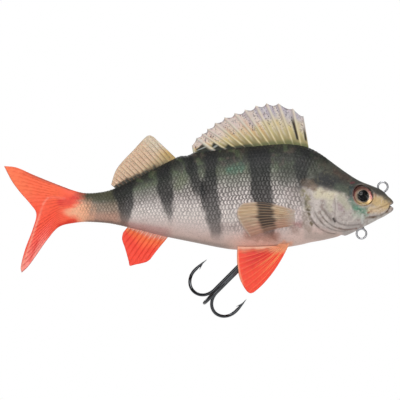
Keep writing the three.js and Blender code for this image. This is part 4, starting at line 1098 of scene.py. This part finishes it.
def mark_rays(obj, across, out, rays):
    """What the fin materials draw rays by, on both faces of a sheet."""
    add_float(obj, "phase", np.tile((across * (rays - 1)).ravel(), 2))
    add_float(obj, "out", np.tile(out.ravel(), 2))


def upright(back, height, offset):
    return to_row(back, offset, height)


def finish_fin(obj, paint, material, body, node, slot):
    add_paint(obj, np.tile(paint.reshape(-1, 3), (2, 1)))
    finish(obj, material, body, node, slot)


def first_dorsal():
    webs = len(FIRST_DORSAL_ROOTS) - 1

    def root(t):
        back = np.interp(np.asarray(t, float) * webs, range(webs + 1), FIRST_DORSAL_ROOTS)
        return np.stack([back, outline(back, TOP)], -1)

    edges = fin_edges(root, FIRST_DORSAL_TIPS, even=False)
    obj, across, out, back, height = fin_object(
        "spiny_dorsal", edges, webs + 1, upright, 1, ridge=0.34, scallop=0.075, sharp=12.0)
    phase = across * webs
    after = phase - np.floor(phase)
    between = ease(0.07, 0.2, np.abs(phase - np.round(phase)))
    wave = ripple(back, height, 6, 21)
    cloud = blotches(back, height, 3.0, 22)
    streaks = blotches(across * 40, 1.2 * out, 1.0, 26)
    rear = ease(0.3, 0.62, across + 0.05 * wave)
    glow = ease(0.0, 0.7, blotches(2.5 * phase, 2.2 * out, 1.0, 25))
    glow = between * ease(0.5, 0.25, np.abs(out - 0.4)) * glow * ease(0.15, 0.3, across)
    shade = ease(0.05, 0.1, after) * ease(0.24, 0.14, after) * ease(0.1, 0.3, out)
    halfway = ease(0.14, 0.03, np.abs(after - 0.5 - 0.12 * cloud)) * ease(0.1, 0.3, out)
    paint = undercoat(out, (206, 195, 186))
    coat(
        paint,
        ((180, 173, 186), between * ease(0.35, 0.85, out + 0.12 * cloud) * (0.85 - 0.5 * rear)),
        ((224, 196, 182), between * rear * ease(0.2, 0.5, out) * 0.55),
        ((206, 188, 116), ease(0.8, 0.25, out + 0.15 * cloud) * (0.75 + 0.05 * rear)),
        ((224, 206, 186), between * ease(0.1, 0.8, streaks) * 0.5),
        ((168, 158, 152), between * ease(-0.1, -0.8, streaks) * ease(0.2, 0.5, out) * 0.35),
        ((214, 158, 106), glow * 0.45),
        ((132, 122, 84), between * ease(0.48, 0.12, out) * (0.7 + 0.25 * rear)),
        ((100, 108, 70), ease(0.15, 0.02, out + 0.03 * wave) * 0.8),
        ((140, 136, 140), between * ease(0.94, 0.985, out) * 0.7),
        ((128, 112, 104), shade * 0.4),
        ((226, 218, 204), halfway * 0.35),
    )
    for middle, start, end in ((0.22, 0.16, 0.68), (1.26, 0.1, 0.85)):
        mark = ease(0.2, 0.08, np.abs(phase - middle)) * ease(start, start + 0.08, out)
        coat(paint, ((30, 22, 22), mark * ease(end, end - 0.3, out) * 0.95))
    # Dark webs low down between the last spines
    reach = np.interp(across, [0.64, 0.76, 0.86, 1.0], [0.03, 0.32, 0.6, 0.78]) - 0.42 * after
    dark = ease(0.1, 0.2, after) * ease(0.86, 0.7, after)
    slit = ease(0.05, 0.02, np.abs(out - 0.55 * reach)) * dark * ease(0.83, 0.86, across)
    coat(
        paint,
        ((24, 30, 27), dark * ease(0.64, 0.7, across) * ease(reach, reach - 0.08, out) * 0.95),
        ((50, 53, 46), ease(0.14, 0.04, out + 0.03 * wave) * ease(0.5, 0.66, across) * 0.85),
        ((176, 182, 176), slit * 0.7),
        ((196, 194, 190), ease(0.75, 0.95, across) * (1 - between) * 0.6),
    )
    material = fin_material("spiny dorsal", (222, 213, 188), ray_mix=0.5, speckle=0.9, ray_from=0.82)
    finish_fin(obj, paint, material, "trunk", "first_dorsal_fin", "dorsal_fins")


def second_dorsal():
    edges = fin_edges(root_line(*SECOND_DORSAL, lambda b: outline(b, TOP)), SECOND_DORSAL_MARGIN)
    rays = 17
    obj, across, out, back, height = fin_object(
        "soft_dorsal", edges, rays, upright, 1, ridge=0.34, sharp=1.6)
    phase = across * (rays - 1)
    between = ease(0.05, 0.3, np.abs(phase - np.round(phase)))
    cloud = blotches(back, height, 1.6, 23)
    base = ease(0.19, -0.02, out + 0.05 * cloud - 0.32 * across**3) * ease(0.04, 0.3, across)
    base = np.maximum(base, ease(0.84, 0.98, across + 0.04 * cloud) * ease(0.5, 0.2, out) * 0.9)
    paint = undercoat(out, (216, 186, 158))
    coat(
        paint,
        ((214, 204, 182), ease(0.3, 0.1, across) * 0.7),
        ((140, 118, 94), ease(0.5, 0.1, out) * ease(0.4, 0.9, across) * 0.6),
        ((208, 164, 88), ease(0.6, 0.2, out) * ease(0.3, 0.02, across) * 0.85),
        ((172, 156, 112), ease(0.42, 0.12, out) * ease(0.75, 0.3, across) * 0.6),
        ((44, 48, 44), base * (0.85 + 0.1 * between)),
        ((120, 104, 92), np.maximum(ease(0.975, 1.0, out), ease(0.985, 1.0, across)) * 0.5),
    )
    material = fin_material("soft dorsal", (112, 84, 66), ray_mix=0.65, speckle=0.5, ray_from=0.6)
    finish_fin(obj, paint, material, "rear_body", "second_dorsal_fin", "dorsal_fins")


def anal_fin():
    edges = fin_edges(root_line(*ANAL, lambda b: outline(b, BOTTOM)), ANAL_MARGIN, ANAL_LEADING)
    rays = 10
    obj, across, out, _, _ = fin_object("anal_sheet", edges, rays, upright, -1)
    phase = across * 2 * (rays - 1)
    stub = ease(0.3, 0.1, np.abs(phase - np.round(phase)))
    paint = undercoat(out, (246, 80, 62))
    coat(
        paint,
        ((252, 130, 76), ease(0.6, 0.12, out) * 0.85),
        ((252, 142, 92), ease(0.75, 0.95, across) * ease(0.6, 0.2, out) * 0.7),
        ((236, 170, 150), ease(0.14, 0.02, out) * 0.7),
        ((250, 214, 200), stub * ease(0.22, 0.06, out) * 0.8),
        ((244, 118, 98), ease(0.85, 1.0, across) * ease(0.4, 0.8, out) * 0.6),
    )
    material = fin_material("anal fin", (204, 40, 30), ray_mix=0.65, speckle=0.0, ray_from=0.5)
    finish_fin(obj, paint, material, "rear_body", "anal_fin", "red_fins")


def pelvic_fin(label, side):
    def beside(back):
        return underside(back, PELVIC_SPACING)

    front, rear = PELVIC
    uppers = [(b, float(beside(b)) - PELVIC_DROP) for b in (rear + 1, (rear + PELVIC_REAR_BACK) / 2)]
    trailing = (PELVIC_REAR_BACK, float(beside(PELVIC_REAR_BACK)) - PELVIC_DROP)
    edges = fin_edges(root_line(front, rear, beside), PELVIC_MARGIN + [trailing], PELVIC_LEADING, uppers)
    root_height = float(beside(front))

    def place(back, height, offset):
        lateral = PELVIC_SPACING + (root_height - height) * math.tan(PELVIC_FLARE) + offset
        return to_row(back, side * lateral, height)

    obj, across, out, back, height = fin_object(f"{label}_pelvic_sheet", edges, 10, place, -1, rows=80)
    wave = ripple(back, height, 5, 41)
    below = beside(back) - height
    streaks = ease(-0.2, 0.6, blotches(across * 22, 0.8 * out, 1.0, 42))
    fan = ease(0.75, 0.15, out) * ease(0.05, 0.15, across) * ease(0.8, 0.4, across)
    paint = undercoat(out, (240, 78, 58))
    coat(
        paint,
        ((210, 50, 48), ease(0.3, 0.65, across + 0.08 * wave) * ease(1.0, 0.6, out) * 0.8),
        ((214, 160, 104), ease(0.35, 0.05, out) * ease(0.2, 0.45, across) * 0.6),
        ((206, 124, 94), ease(3.8, 1.0, below + 0.7 * wave) * 0.85),
        ((240, 178, 110), streaks * fan * 0.6),
        ((250, 206, 180), ease(1.8, 0.2, below + 0.4 * wave) * 0.85),
        ((240, 176, 136), ease(0.4, 0.08, out + 0.04 * wave) * ease(5, 2, below) * 0.8),
        ((252, 176, 140), ease(0.95, 1.0, out) * ease(0.2, 0.4, across) * 0.8),
    )
    material = fin_material("pelvic fin", (254, 138, 96), ray_mix=0.42, speckle=0.0, ray_from=0.55)
    finish_fin(obj, paint, material, "trunk", f"{label}_pelvic_fin", "red_fins")


def pectoral_fin(label, side):
    """This fin lies along the flank, so it is a sheet of its own kind."""
    def root(t):
        return spline(PECTORAL_ROOT, np.asarray(t, float))

    rays, ray_steps, rows = 12, 10, 72
    across = np.linspace(0, 1, (rays - 1) * ray_steps + 1)
    outs = 1 - (1 - np.linspace(0, 1, rows + 1)) ** FIN_CROWDING
    across, out = np.broadcast_arrays(across[None, :], outs[:, None])
    flat = coons(fin_edges(root, PECTORAL_MARGIN, PECTORAL_UPPER, PECTORAL_LOWER), across, out)
    back, height = flat[..., 0], flat[..., 1]
    rim = rounded_rim(flat, 0.6)
    on_ray = (np.cos(2 * np.pi * across * (rays - 1)) * 0.5 + 0.5) ** 1.5
    rise = PECTORAL_THICKNESS * (0.25 + 0.75 * rim) + 0.3 * on_ray * rim * (1 - 0.5 * out)
    base = flank(back, height)
    free = ease(0.0, 0.16, out)
    inner = to_row(back, side * (base - 0.8 + 0.85 * free), height)
    outer = to_row(back, side * (base - 0.35 + (PECTORAL_LIFT + 0.35 + rise) * free), height)
    obj = sheet_object(f"{label}_pectoral_sheet", outer, inner)
    mark_rays(obj, across, out, rays)
    wave = ripple(back, height, 4, 8)
    streaky = blotches(0.4 * back, 2 * height, 1.6, 24)
    middle = np.interp(height, PECTORAL_BAR[0], PECTORAL_BAR[1])
    bar = ease(1.2, -1.2, np.abs(back - middle) - PECTORAL_BAR_HALF + 0.4 * wave + 0.7 * streaky)
    paint = undercoat(out, (178, 154, 130))
    coat(
        paint,
        ((194, 162, 122), ease(0.05, 0.25, across) * ease(0.5, 0.3, across) * 0.5),
        ((206, 190, 164), ease(0.2, 0.9, streaky) * 0.5),
        ((140, 106, 86), ease(-0.2, -0.9, streaky) * 0.5),
        ((172, 130, 112), ease(0.5, 0.85, across + 0.08 * wave) * 0.85),
        ((198, 178, 164), ease(0.07, 0.01, across) * 0.8),
        ((50, 42, 38), bar * (0.92 - 0.45 * ease(0.75, 1.0, across))),
        ((190, 176, 168), ease(0.28, 0.04, out) * 0.85),
        ((204, 188, 176), ease(0.95, 1.0, out) * 0.6),
        ((150, 92, 90), ease(0.14, 0.02, out) * ease(0.62, 0.85, across) * 0.7),
    )
    material = fin_material("pectoral fin", (176, 142, 112), ray_mix=0.5, speckle=0.0, ray_from=0.5)
    finish_fin(obj, paint, material, "trunk", f"{label}_pectoral_fin", "pectoral_fins")


# Eyes

def lathe_on_seat(name, seat, profile, ahead, tall, steps=72):
    """A solid turned about the eye's own axis, or ahead of it and stretched upwards. profile is radius
    and height from axis to axis."""
    place, out, up, fore = seat
    axis = place + fore * ahead
    rings = [circle(axis + out * height, radius, fore, tall * up, steps) for radius, height in profile[1:-1]]
    points = np.vstack([axis + out * profile[0][1]] + rings + [axis + out * profile[-1][1]])
    faces = [(0, 1 + (j + 1) % steps, 1 + j) for j in range(steps)]
    faces += grid_faces(len(rings), steps, 1, wrap=True)
    last = 1 + (len(rings) - 1) * steps
    faces += [(last + j, last + (j + 1) % steps, len(points) - 1) for j in range(steps)]
    obj = face_out(new_object(name, placed(points), faces))
    add_float(obj, "eye_x", (points - place) @ fore)
    add_float(obj, "eye_y", (points - place) @ up)
    return obj


def make_eye(label, side):
    cup_top = IRIS_BASE + IRIS_THICKNESS
    cup = [(0, IRIS_BASE), (EYE_RADIUS - 0.1, IRIS_BASE), (EYE_RADIUS, IRIS_BASE + 0.1),
           (EYE_RADIUS, cup_top - 0.05)]
    cup += [(r, cup_top - 0.03 * (EYE_RADIUS - r)) for r in np.linspace(EYE_RADIUS - 0.08, 0.1, 26)]
    cup += [(0, cup_top - 0.12)]
    top = PUPIL_BASE + PUPIL_THICKNESS
    pupil = [(0, PUPIL_BASE), (PUPIL_RADIUS - 0.08, PUPIL_BASE), (PUPIL_RADIUS, PUPIL_BASE + 0.08)]
    pupil += [(PUPIL_RADIUS * math.cos(t), top - 0.1 + 0.1 * math.sin(t)) for t in np.linspace(0, 1.45, 10)]
    pupil += [(0, top)]
    sphere = (EYE_RADIUS**2 + EYE_DOME_RISE**2) / (2 * EYE_DOME_RISE)
    opening = math.asin(EYE_RADIUS / sphere)
    rim = EYE_DOME_BASE + EYE_DOME_RIM
    dome = [(0, EYE_DOME_BASE), (EYE_RADIUS - 0.1, EYE_DOME_BASE), (EYE_RADIUS, EYE_DOME_BASE + 0.1)]
    dome += [(sphere * math.sin(opening * t), rim + sphere * (math.cos(opening * t) - math.cos(opening)))
             for t in np.linspace(1, 0.02, 30)]
    dome += [(0, rim + EYE_DOME_RISE)]
    black = plain_material("pupil black", srgb(12, 11, 13), 0.6, 0.0, specular=0.05)
    seat = eye_seat(side)
    for piece, profile, ahead, tall, material, node, slot in (
            ("iris", cup, 0.0, 1.0, iris_material(), "eye_cup", "iris_foil"),
            ("pupil_disc", pupil, 0.45, 1.2, black, "eye_pupil", "pupil"),
            ("cornea", dome, 0.0, 1.0, dome_material(), "eye_dome", "eye_dome")):
        obj = lathe_on_seat(f"{label}_{piece}", seat, profile, ahead, tall)
        finish(obj, material, "trunk", f"{label}_{node}", slot)


# Wire, ring and hook

def wire_eye(name, node, back, column, rise, leg_angles, shoulder, foot):
    """A closed eye of wire in the middle plane, with two legs that run into the body."""
    skin = float(outline(back, column))
    centre = to_row(back, 0, skin + rise)
    x, z = np.array([MM, 0, 0]), np.array([0, 0, MM])
    parts = [tube_object("eyelet", circle(centre, EYELET_RADIUS, x, z), WIRE_RADIUS, closed=True)]
    for degrees, aside in zip(leg_angles, (LEG_ASIDE, -LEG_ASIDE)):
        angle = math.radians(degrees)
        route = [centre + EYELET_RADIUS * (math.cos(angle) * x + math.sin(angle) * z),
                 to_row(back + shoulder[0], aside, skin + shoulder[1]), to_row(back + foot[0], aside, foot[1])]
        parts.append(tube_object("leg", smooth_path(route, 24), WIRE_RADIUS))
    finish(join_objects(name, parts), steel_material(), "trunk", node, "steel_wire")


def seat_in(hole):
    """How far the ring's wire hangs from the centre of a hole of this radius."""
    wide = 2 * RING_WIRE_WIDE + RING_TURN_GAP
    return math.sqrt((hole - LINK_GAP) ** 2 - (wide / 2) ** 2) - RING_WIRE_DEEP / 2


def make_hook_train():
    hanger = np.array([HANGER_BACK, 0, float(outline(HANGER_BACK, BOTTOM)) - HANGER_DROP])
    ring = hanger + SWEPT * (seat_in(EYELET_RADIUS - WIRE_RADIUS) + RING_RADIUS)
    make_split_ring(ring)
    make_treble(ring + SWEPT * (RING_RADIUS + seat_in(HOOK_EYE_RADIUS - HOOK_WIRE_RADIUS)))


def make_split_ring(centre, steps=160, sides=12):
    """Two turns of flat-ended wire, which steps aside at the end of the first."""
    half_gap = (RING_WIRE_WIDE + RING_TURN_GAP) / 2
    t = 2 * math.pi * np.arange(sides) / sides
    wide = (np.sign(np.cos(t)) * np.abs(np.cos(t)) ** 0.6)[:, None] * RING_WIRE_WIDE / 2
    deep = (np.sign(np.sin(t)) * np.abs(np.sin(t)) ** 0.6)[:, None] * RING_WIRE_DEEP / 2
    rings = []
    for turn in RING_TURNS * np.arange(steps + 1) / steps:
        angle = 2 * math.pi * turn
        out = math.cos(angle) * SIDEWAYS + math.sin(angle) * SWEPT
        side = -half_gap + 2 * half_gap * float(ease(0.9, 1.0, turn))
        rings.append(centre + out * RING_RADIUS + ACROSS * side + ACROSS * wide + out * deep)
    faces = grid_faces(steps + 1, sides, wrap=True) + end_caps(steps + 1, sides)
    obj = face_out(new_object("double_ring", placed(np.concatenate(rings)), faces))
    finish(obj, steel_material(), "split_ring", "split_ring", "steel_wire")


def hook_path(from_height):
    """One hook in its own plane: x away from the shank, z along it, with the wire's radius."""
    offset = (2 * HOOK_WIRE_RADIUS + BRAZE_GAP) / math.sqrt(3)
    bend_x, bend_z = offset + HOOK_BEND_RADIUS, -HOOK_LENGTH + HOOK_BEND_RADIUS
    point_x, tip_z = bend_x + HOOK_BEND_RADIUS, -HOOK_LENGTH + HOOK_POINT_RISE
    path = [(offset, z) for z in np.linspace(from_height, bend_z, 24)[:-1]]
    path += [(bend_x + HOOK_BEND_RADIUS * math.cos(t), bend_z + HOOK_BEND_RADIUS * math.sin(t))
             for t in np.linspace(math.pi, 2 * math.pi, 40)]
    path += [(point_x - HOOK_POINT_IN * t**2, bend_z + (tip_z - bend_z) * t)
             for t in np.linspace(0, 1, 24)[1:]]
    path = np.array(path)
    run = np.concatenate([[0], np.cumsum(np.linalg.norm(np.diff(path, axis=0), axis=1))])
    radius = HOOK_WIRE_RADIUS * np.clip((run[-1] - run) / HOOK_POINT_TAPER, 0.03, 1) ** 0.8
    return path, radius, point_x, tip_z


def hook_parts(centre, degrees, from_height):
    """A hook and its barb, turned by some degrees about the shank."""
    angle = math.radians(degrees)
    out = math.cos(angle) * ACROSS + math.sin(angle) * SIDEWAYS

    def place(x, z):
        return centre + out * x - SWEPT * z

    path, radius, point_x, tip_z = hook_path(from_height)
    hook = placed([place(x, z) for x, z in path])
    barb_tip = place(point_x - HOOK_POINT_IN * 0.5 - HOOK_WIRE_RADIUS - 0.55, tip_z - 5.8)
    barb_foot = place(point_x - HOOK_POINT_IN * 0.6, tip_z - 3.2)
    barb = placed(barb_foot + (barb_tip - barb_foot) * np.linspace(0, 1, 6)[:, None])
    return [tube_object("hook", hook, radius, 20), tube_object("barb", barb, np.linspace(0.42, 0.08, 6), 10)]


def make_treble(centre):
    eye = placed(circle(centre, HOOK_EYE_RADIUS, ACROSS, SWEPT))
    parts = [tube_object("eye", eye, HOOK_WIRE_RADIUS, 20, closed=True)]
    for degrees in (30, 150):
        parts += hook_parts(centre, degrees, -HOOK_EYE_RADIUS)
    below = -(HOOK_EYE_RADIUS + HOOK_WIRE_RADIUS + 0.3)
    for name, hooks in (("double_hook", parts), ("single_hook", hook_parts(centre, 270, below))):
        finish(join_objects(name, hooks), hook_material(), "treble", f"treble_{name}", "hook_steel")


# Materials

class Nodes:
    """A new material's node tree, with short ways to add the nodes that the paints use."""

    def __init__(self, name):
        self.material = bpy.data.materials.new(name)
        self.material.use_nodes = True
        self.tree = self.material.node_tree

    def feed(self, inputs, values):
        """Sets sockets to numbers or colours, or links them to other nodes' outputs."""
        for key, value in values.items():
            if isinstance(value, bpy.types.NodeSocket):
                self.tree.links.new(value, inputs[key])
            elif isinstance(value, (tuple, np.ndarray)):
                inputs[key].default_value = (*[float(v) for v in value[:3]], 1.0)
            else:
                inputs[key].default_value = value

    def add(self, kind, output, values, **settings):
        node = self.tree.nodes.new(kind)
        for key, value in settings.items():
            setattr(node, key, value)
        self.feed(node.inputs, values)
        return node.outputs[output]

    def read(self, name, output="Fac"):
        return self.add("ShaderNodeAttribute", output, {}, attribute_name=name)

    def math(self, operation, *values):
        return self.add("ShaderNodeMath", 0, dict(enumerate(values)), operation=operation)

    def times(self, *values):
        return functools.reduce(lambda a, b: self.math("MULTIPLY", a, b), values)

    def remap(self, value, low, high, to_low=0.0, to_high=1.0):
        values = {"Value": value, "From Min": low, "From Max": high, "To Min": to_low, "To Max": to_high}
        return self.add("ShaderNodeMapRange", "Result", values, interpolation_type="SMOOTHSTEP")

    def noise(self, per_mm, detail=3.0, roughness=0.5):
        """Noise laid on the piece's own rest shape, so it stays put when the piece bends."""
        values = {"Vector": self.read("rest", "Vector"), "Scale": per_mm, "Detail": detail,
                  "Roughness": roughness}
        return self.add("ShaderNodeTexNoise", 0, values)

    def mix(self, factor, a, b, mode="MIX"):
        return self.add("ShaderNodeMix", 2, {0: factor, 6: a, 7: b}, data_type="RGBA", blend_type=mode)

    def shade(self, values, bumps=None, strength=0.1, distance=0.0001):
        """Feeds the material's shader, with bumps where there are any, and gives the material."""
        shader = self.tree.nodes["Principled BSDF"]
        self.feed(shader.inputs, values)
        if bumps:
            heights = {"Strength": strength, "Distance": distance, "Height": bumps}
            self.feed(shader.inputs, {"Normal": self.add("ShaderNodeBump", "Normal", heights)})
        return self.material


@functools.cache
def skin_material():
    """Airbrushed soft plastic: printed scales, each with a pale crescent that also carries a painted highlight,
    and dark gaps between them that also carry painted shadow under the rims; fine flecks.
    """
    n = Nodes("painted skin")
    scaled = n.read("scaled")
    row = n.math("ADD", n.read("row"), n.times(n.noise(0.22, 2.0), 0.9))
    nearest = n.math("ROUND", row)
    aside = n.math("SUBTRACT", row, nearest)
    bow = n.math("SQRT", n.math("SUBTRACT", 1.0, n.times(aside, aside, SCALE_CURVE ** -2)))
    column = n.math("ADD", n.read("column"), n.times(nearest, 0.5))
    column = n.math("ADD", column, n.times(n.noise(0.3, 2.0), 1.4))
    place = n.math("SUBTRACT", column, bow)
    along = n.math("FRACT", place)
    # The crescent and the gap follow the printed scale net; the gap's darkening is also painted shadow under
    # each rim
    crescent = n.times(n.remap(along, 0.34, 0.56), n.remap(along, 1.0, 0.88),
                       n.remap(n.math("ABSOLUTE", aside), 0.5, 0.32), scaled)
    shaded_gap = n.math("SUBTRACT", scaled, crescent)
    which = n.math("ADD", n.math("FLOOR", place), n.times(nearest, 57.0))
    lot = n.add("ShaderNodeTexWhiteNoise", "Value", {"W": which}, noise_dimensions="1D")
    # The gleam is a painted highlight on each crescent, stronger on some scales than others
    gleam = n.times(crescent, n.remap(lot, 0.0, 1.0, 0.25, 1.0))
    colour = n.mix(n.times(shaded_gap, 0.8), n.read("paint", "Color"), (0.28, 0.27, 0.27), "MULTIPLY")
    colour = n.mix(gleam, colour, (1.45, 1.44, 1.44), "MULTIPLY")
    colour = n.mix(n.times(gleam, 0.07), colour, srgb(200, 198, 196))
    mottle = n.remap(n.noise(0.55, 4.0, 0.6), 0.35, 0.7, 0.0, 0.3)
    colour = n.mix(mottle, colour, (0.72, 0.7, 0.68), "MULTIPLY")
    grain = n.read("grain")
    flecks = n.noise(2.2, 2.0, 0.6)
    colour = n.mix(n.times(n.remap(flecks, 0.54, 0.7, 0.0, 0.5), grain), colour, (0.42, 0.4, 0.38), "MULTIPLY")
    colour = n.mix(n.times(n.remap(flecks, 0.44, 0.32, 0.0, 0.05), grain), colour, srgb(214, 210, 204))
    ray = n.remap(n.math("COSINE", n.times(n.read("ray"), 2 * math.pi)), 0.3, 0.95)
    colour = n.mix(n.times(ray, n.read("streak")), colour, srgb(178, 24, 26))
    return n.shade({
        "Base Color": colour, "Roughness": n.remap(shaded_gap, 0.0, 1.0, 0.4, 0.6), "Specular IOR Level": 0.12,
        "Coat Weight": 0.03, "Coat Roughness": 0.3}, flecks, strength=0.2)


def fin_material(name, ray, ray_mix, speckle, ray_from):
    """Translucent soft plastic with darker or lighter rays, and specks in the web between them."""
    n = Nodes(name)
    out = n.read("out")
    wave = n.math("COSINE", n.times(n.read("phase"), 2 * math.pi))
    reach = n.times(n.remap(out, 1.0, 0.5, 0.35, 1.0), n.remap(out, 0.02, 0.16, 0.3, 1.0))
    weight = n.times(n.remap(wave, ray_from, 0.97), reach, ray_mix)
    colour = n.mix(weight, n.read("paint", "Color"), srgb(*ray))
    if speckle:
        dark = n.times(n.remap(n.noise(1.7, 2.0, 0.7), 0.53, 0.66), speckle, n.remap(wave, 0.7, -0.2),
                       n.remap(out, 0.25, 0.55))
        colour = n.mix(dark, colour, srgb(60, 50, 58))
    mottle = n.noise(0.6, 4.0, 0.6)
    colour = n.mix(n.remap(mottle, 0.35, 0.7, 0.0, 0.25), colour, (0.74, 0.68, 0.66), "MULTIPLY")
    return n.shade({
        "Base Color": colour, "Roughness": 0.45, "Specular IOR Level": 0.15, "Subsurface Weight": 0.1,
        "Subsurface Scale": 0.001, "Coat Weight": 0.05}, mottle, strength=0.2)


@functools.cache
def iris_material():
    """Printed foil: a cream ring round the pupil, a pink-red ring outside it, amber below, painted shade above.
    """
    n = Nodes("iris foil")
    x, y = n.read("eye_x"), n.read("eye_y")
    radius = n.math("SQRT", n.math("ADD", n.times(x, x), n.times(y, y)))
    rings = n.add("ShaderNodeValToRGB", "Color", {"Fac": n.math("DIVIDE", radius, EYE_RADIUS)})
    ramp = rings.node.color_ramp
    first, last = ramp.elements
    first.position, first.color = 0.48, (*srgb(58, 50, 42), 1)
    last.position, last.color = 0.97, (*srgb(58, 42, 38), 1)
    for position, colour in ((0.57, (178, 162, 142)), (0.70, (182, 144, 124)), (0.79, (172, 98, 92)),
                             (0.89, (146, 80, 72))):
        ramp.elements.new(position).color = (*srgb(*colour), 1)
    outer = n.remap(radius, 2.6, 3.2)
    colour = n.mix(n.times(n.remap(y, -0.8, -2.8), outer), rings, srgb(206, 176, 116))
    # Painted shade across the top of the iris
    colour = n.mix(n.times(n.remap(y, 1.6, 3.4), outer, 0.65), colour, srgb(104, 74, 58))
    flake = n.remap(n.noise(2.6, 3.0, 0.6), 0.4, 0.65, 0.0, 0.3)
    colour = n.mix(flake, colour, (0.6, 0.5, 0.4), "MULTIPLY")
    return n.shade({"Base Color": colour, "Metallic": 0.25, "Roughness": 0.35})


@functools.cache
def dome_material():
    n = Nodes("clear resin")
    return n.shade({
        "Base Color": (1, 1, 1), "Roughness": n.remap(n.noise(0.3), 0.3, 0.7, 0.1, 0.16), "IOR": 1.2,
        "Specular IOR Level": 0.2, "Transmission Weight": 1.0})


@functools.cache
def steel_material():
    n = Nodes("bright steel wire")
    streak = n.noise(1.5)
    return n.shade({
        "Base Color": n.mix(streak, srgb(126, 126, 129), srgb(190, 190, 193)), "Metallic": 1.0,
        "Roughness": n.remap(streak, 0.3, 0.7, 0.08, 0.16)}, streak)


@functools.cache
def hook_material():
    n = Nodes("black nickel")
    wear = n.noise(0.8, 5.0)
    return n.shade({
        "Base Color": n.mix(wear, srgb(48, 49, 52), srgb(74, 76, 80)), "Metallic": 1.0,
        "Roughness": n.remap(wear, 0.3, 0.7, 0.05, 0.1), "Coat Weight": 0.6, "Coat Roughness": 0.04,
    }, wear, strength=0.08)


def plain_material(name, colour, roughness, metallic, specular=0.5):
    n = Nodes(name)
    grain = n.noise(0.5, 4.0)
    return n.shade({
        "Base Color": n.mix(grain, colour * 0.9, np.minimum(colour * 1.1, 1)), "Roughness": roughness,
        "Metallic": metallic, "Specular IOR Level": specular}, grain, distance=0.0002)


# Studio

CAMERA_DISTANCE = 1.2
FRAME_WIDTH = 0.18533
FRAME_BACK = 89.2
FRAME_HEIGHT = 3.25
FLOOR_DROP = 0.19
FLOOR_RADIUS = 1.4
LIT_POINT = (-0.08, 0, 0)


def make_studio():
    """A pale floor well below the lure, soft lights, and white all round it that the camera sees."""
    steps = 96
    middle = np.array([0, 0, cad_box[0][2] - FLOOR_DROP])
    rim = circle(middle, FLOOR_RADIUS, np.array([1.0, 0, 0]), np.array([0, 1.0, 0]), steps)
    floor = new_object("studio_floor", rim, [tuple(range(steps))])
    floor.data.materials.append(plain_material("white paper", srgb(248, 248, 248), 0.9, 0.0))
    for name, place, size, power in (
            ("key", (0.05, -0.75, 0.95), 0.7, 8.4), ("fill", (-0.25, -1.25, 0.15), 1.0, 5.6),
            ("rim", (-0.1, 0.8, 0.7), 0.7, 4.6)):
        light = bpy.data.lights.new(name, "AREA")
        light.shape = "DISK"
        light.size = size
        light.energy = power
        obj = bpy.data.objects.new(name, light)
        obj.location = place
        obj.rotation_euler = (Vector(LIT_POINT) - Vector(place)).to_track_quat("-Z", "Y").to_euler()
        bpy.context.scene.collection.objects.link(obj)
    world = bpy.data.worlds.new("studio")
    world.use_nodes = True
    tree = world.node_tree
    ambient = tree.nodes["Background"]
    ambient.inputs["Color"].default_value = (1, 1, 1, 1)
    ambient.inputs["Strength"].default_value = 0.2
    backdrop = tree.nodes.new("ShaderNodeBackground")
    backdrop.inputs["Color"].default_value = (1, 1, 1, 1)
    rays = tree.nodes.new("ShaderNodeLightPath")
    mixer = tree.nodes.new("ShaderNodeMixShader")
    tree.links.new(rays.outputs["Is Camera Ray"], mixer.inputs[0])
    tree.links.new(ambient.outputs[0], mixer.inputs[1])
    tree.links.new(backdrop.outputs[0], mixer.inputs[2])
    tree.links.new(mixer.outputs[0], tree.nodes["World Output"].inputs["Surface"])
    bpy.context.scene.world = world


def make_camera():
    camera = bpy.data.cameras.new("photo")
    camera.sensor_width = 36
    camera.sensor_height = 36
    camera.lens = camera.sensor_width * CAMERA_DISTANCE / FRAME_WIDTH
    camera.clip_start = 0.05
    camera.clip_end = 20
    obj = bpy.data.objects.new("photo", camera)
    x, _, z = to_row(FRAME_BACK, 0, FRAME_HEIGHT)
    obj.location = (x, -CAMERA_DISTANCE, z)
    obj.rotation_euler = (math.pi / 2, 0, 0)
    bpy.context.scene.collection.objects.link(obj)
    bpy.context.scene.camera = obj


def dress_ballast():
    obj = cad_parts["ballast_weight"]
    obj.data.materials.clear()
    obj.data.materials.append(plain_material("cast lead", srgb(110, 112, 116), 0.6, 0.8))


make_body()
first_dorsal()
second_dorsal()
anal_fin()
for label, side in (("left", 1), ("right", -1)):
    pelvic_fin(label, side)
    pectoral_fin(label, side)
    make_eye(label, side)
for row in WIRE_EYES:
    wire_eye(*row)
make_hook_train()
dress_ballast()
make_studio()
make_camera()
bpy.context.scene.view_settings.view_transform = "Standard"
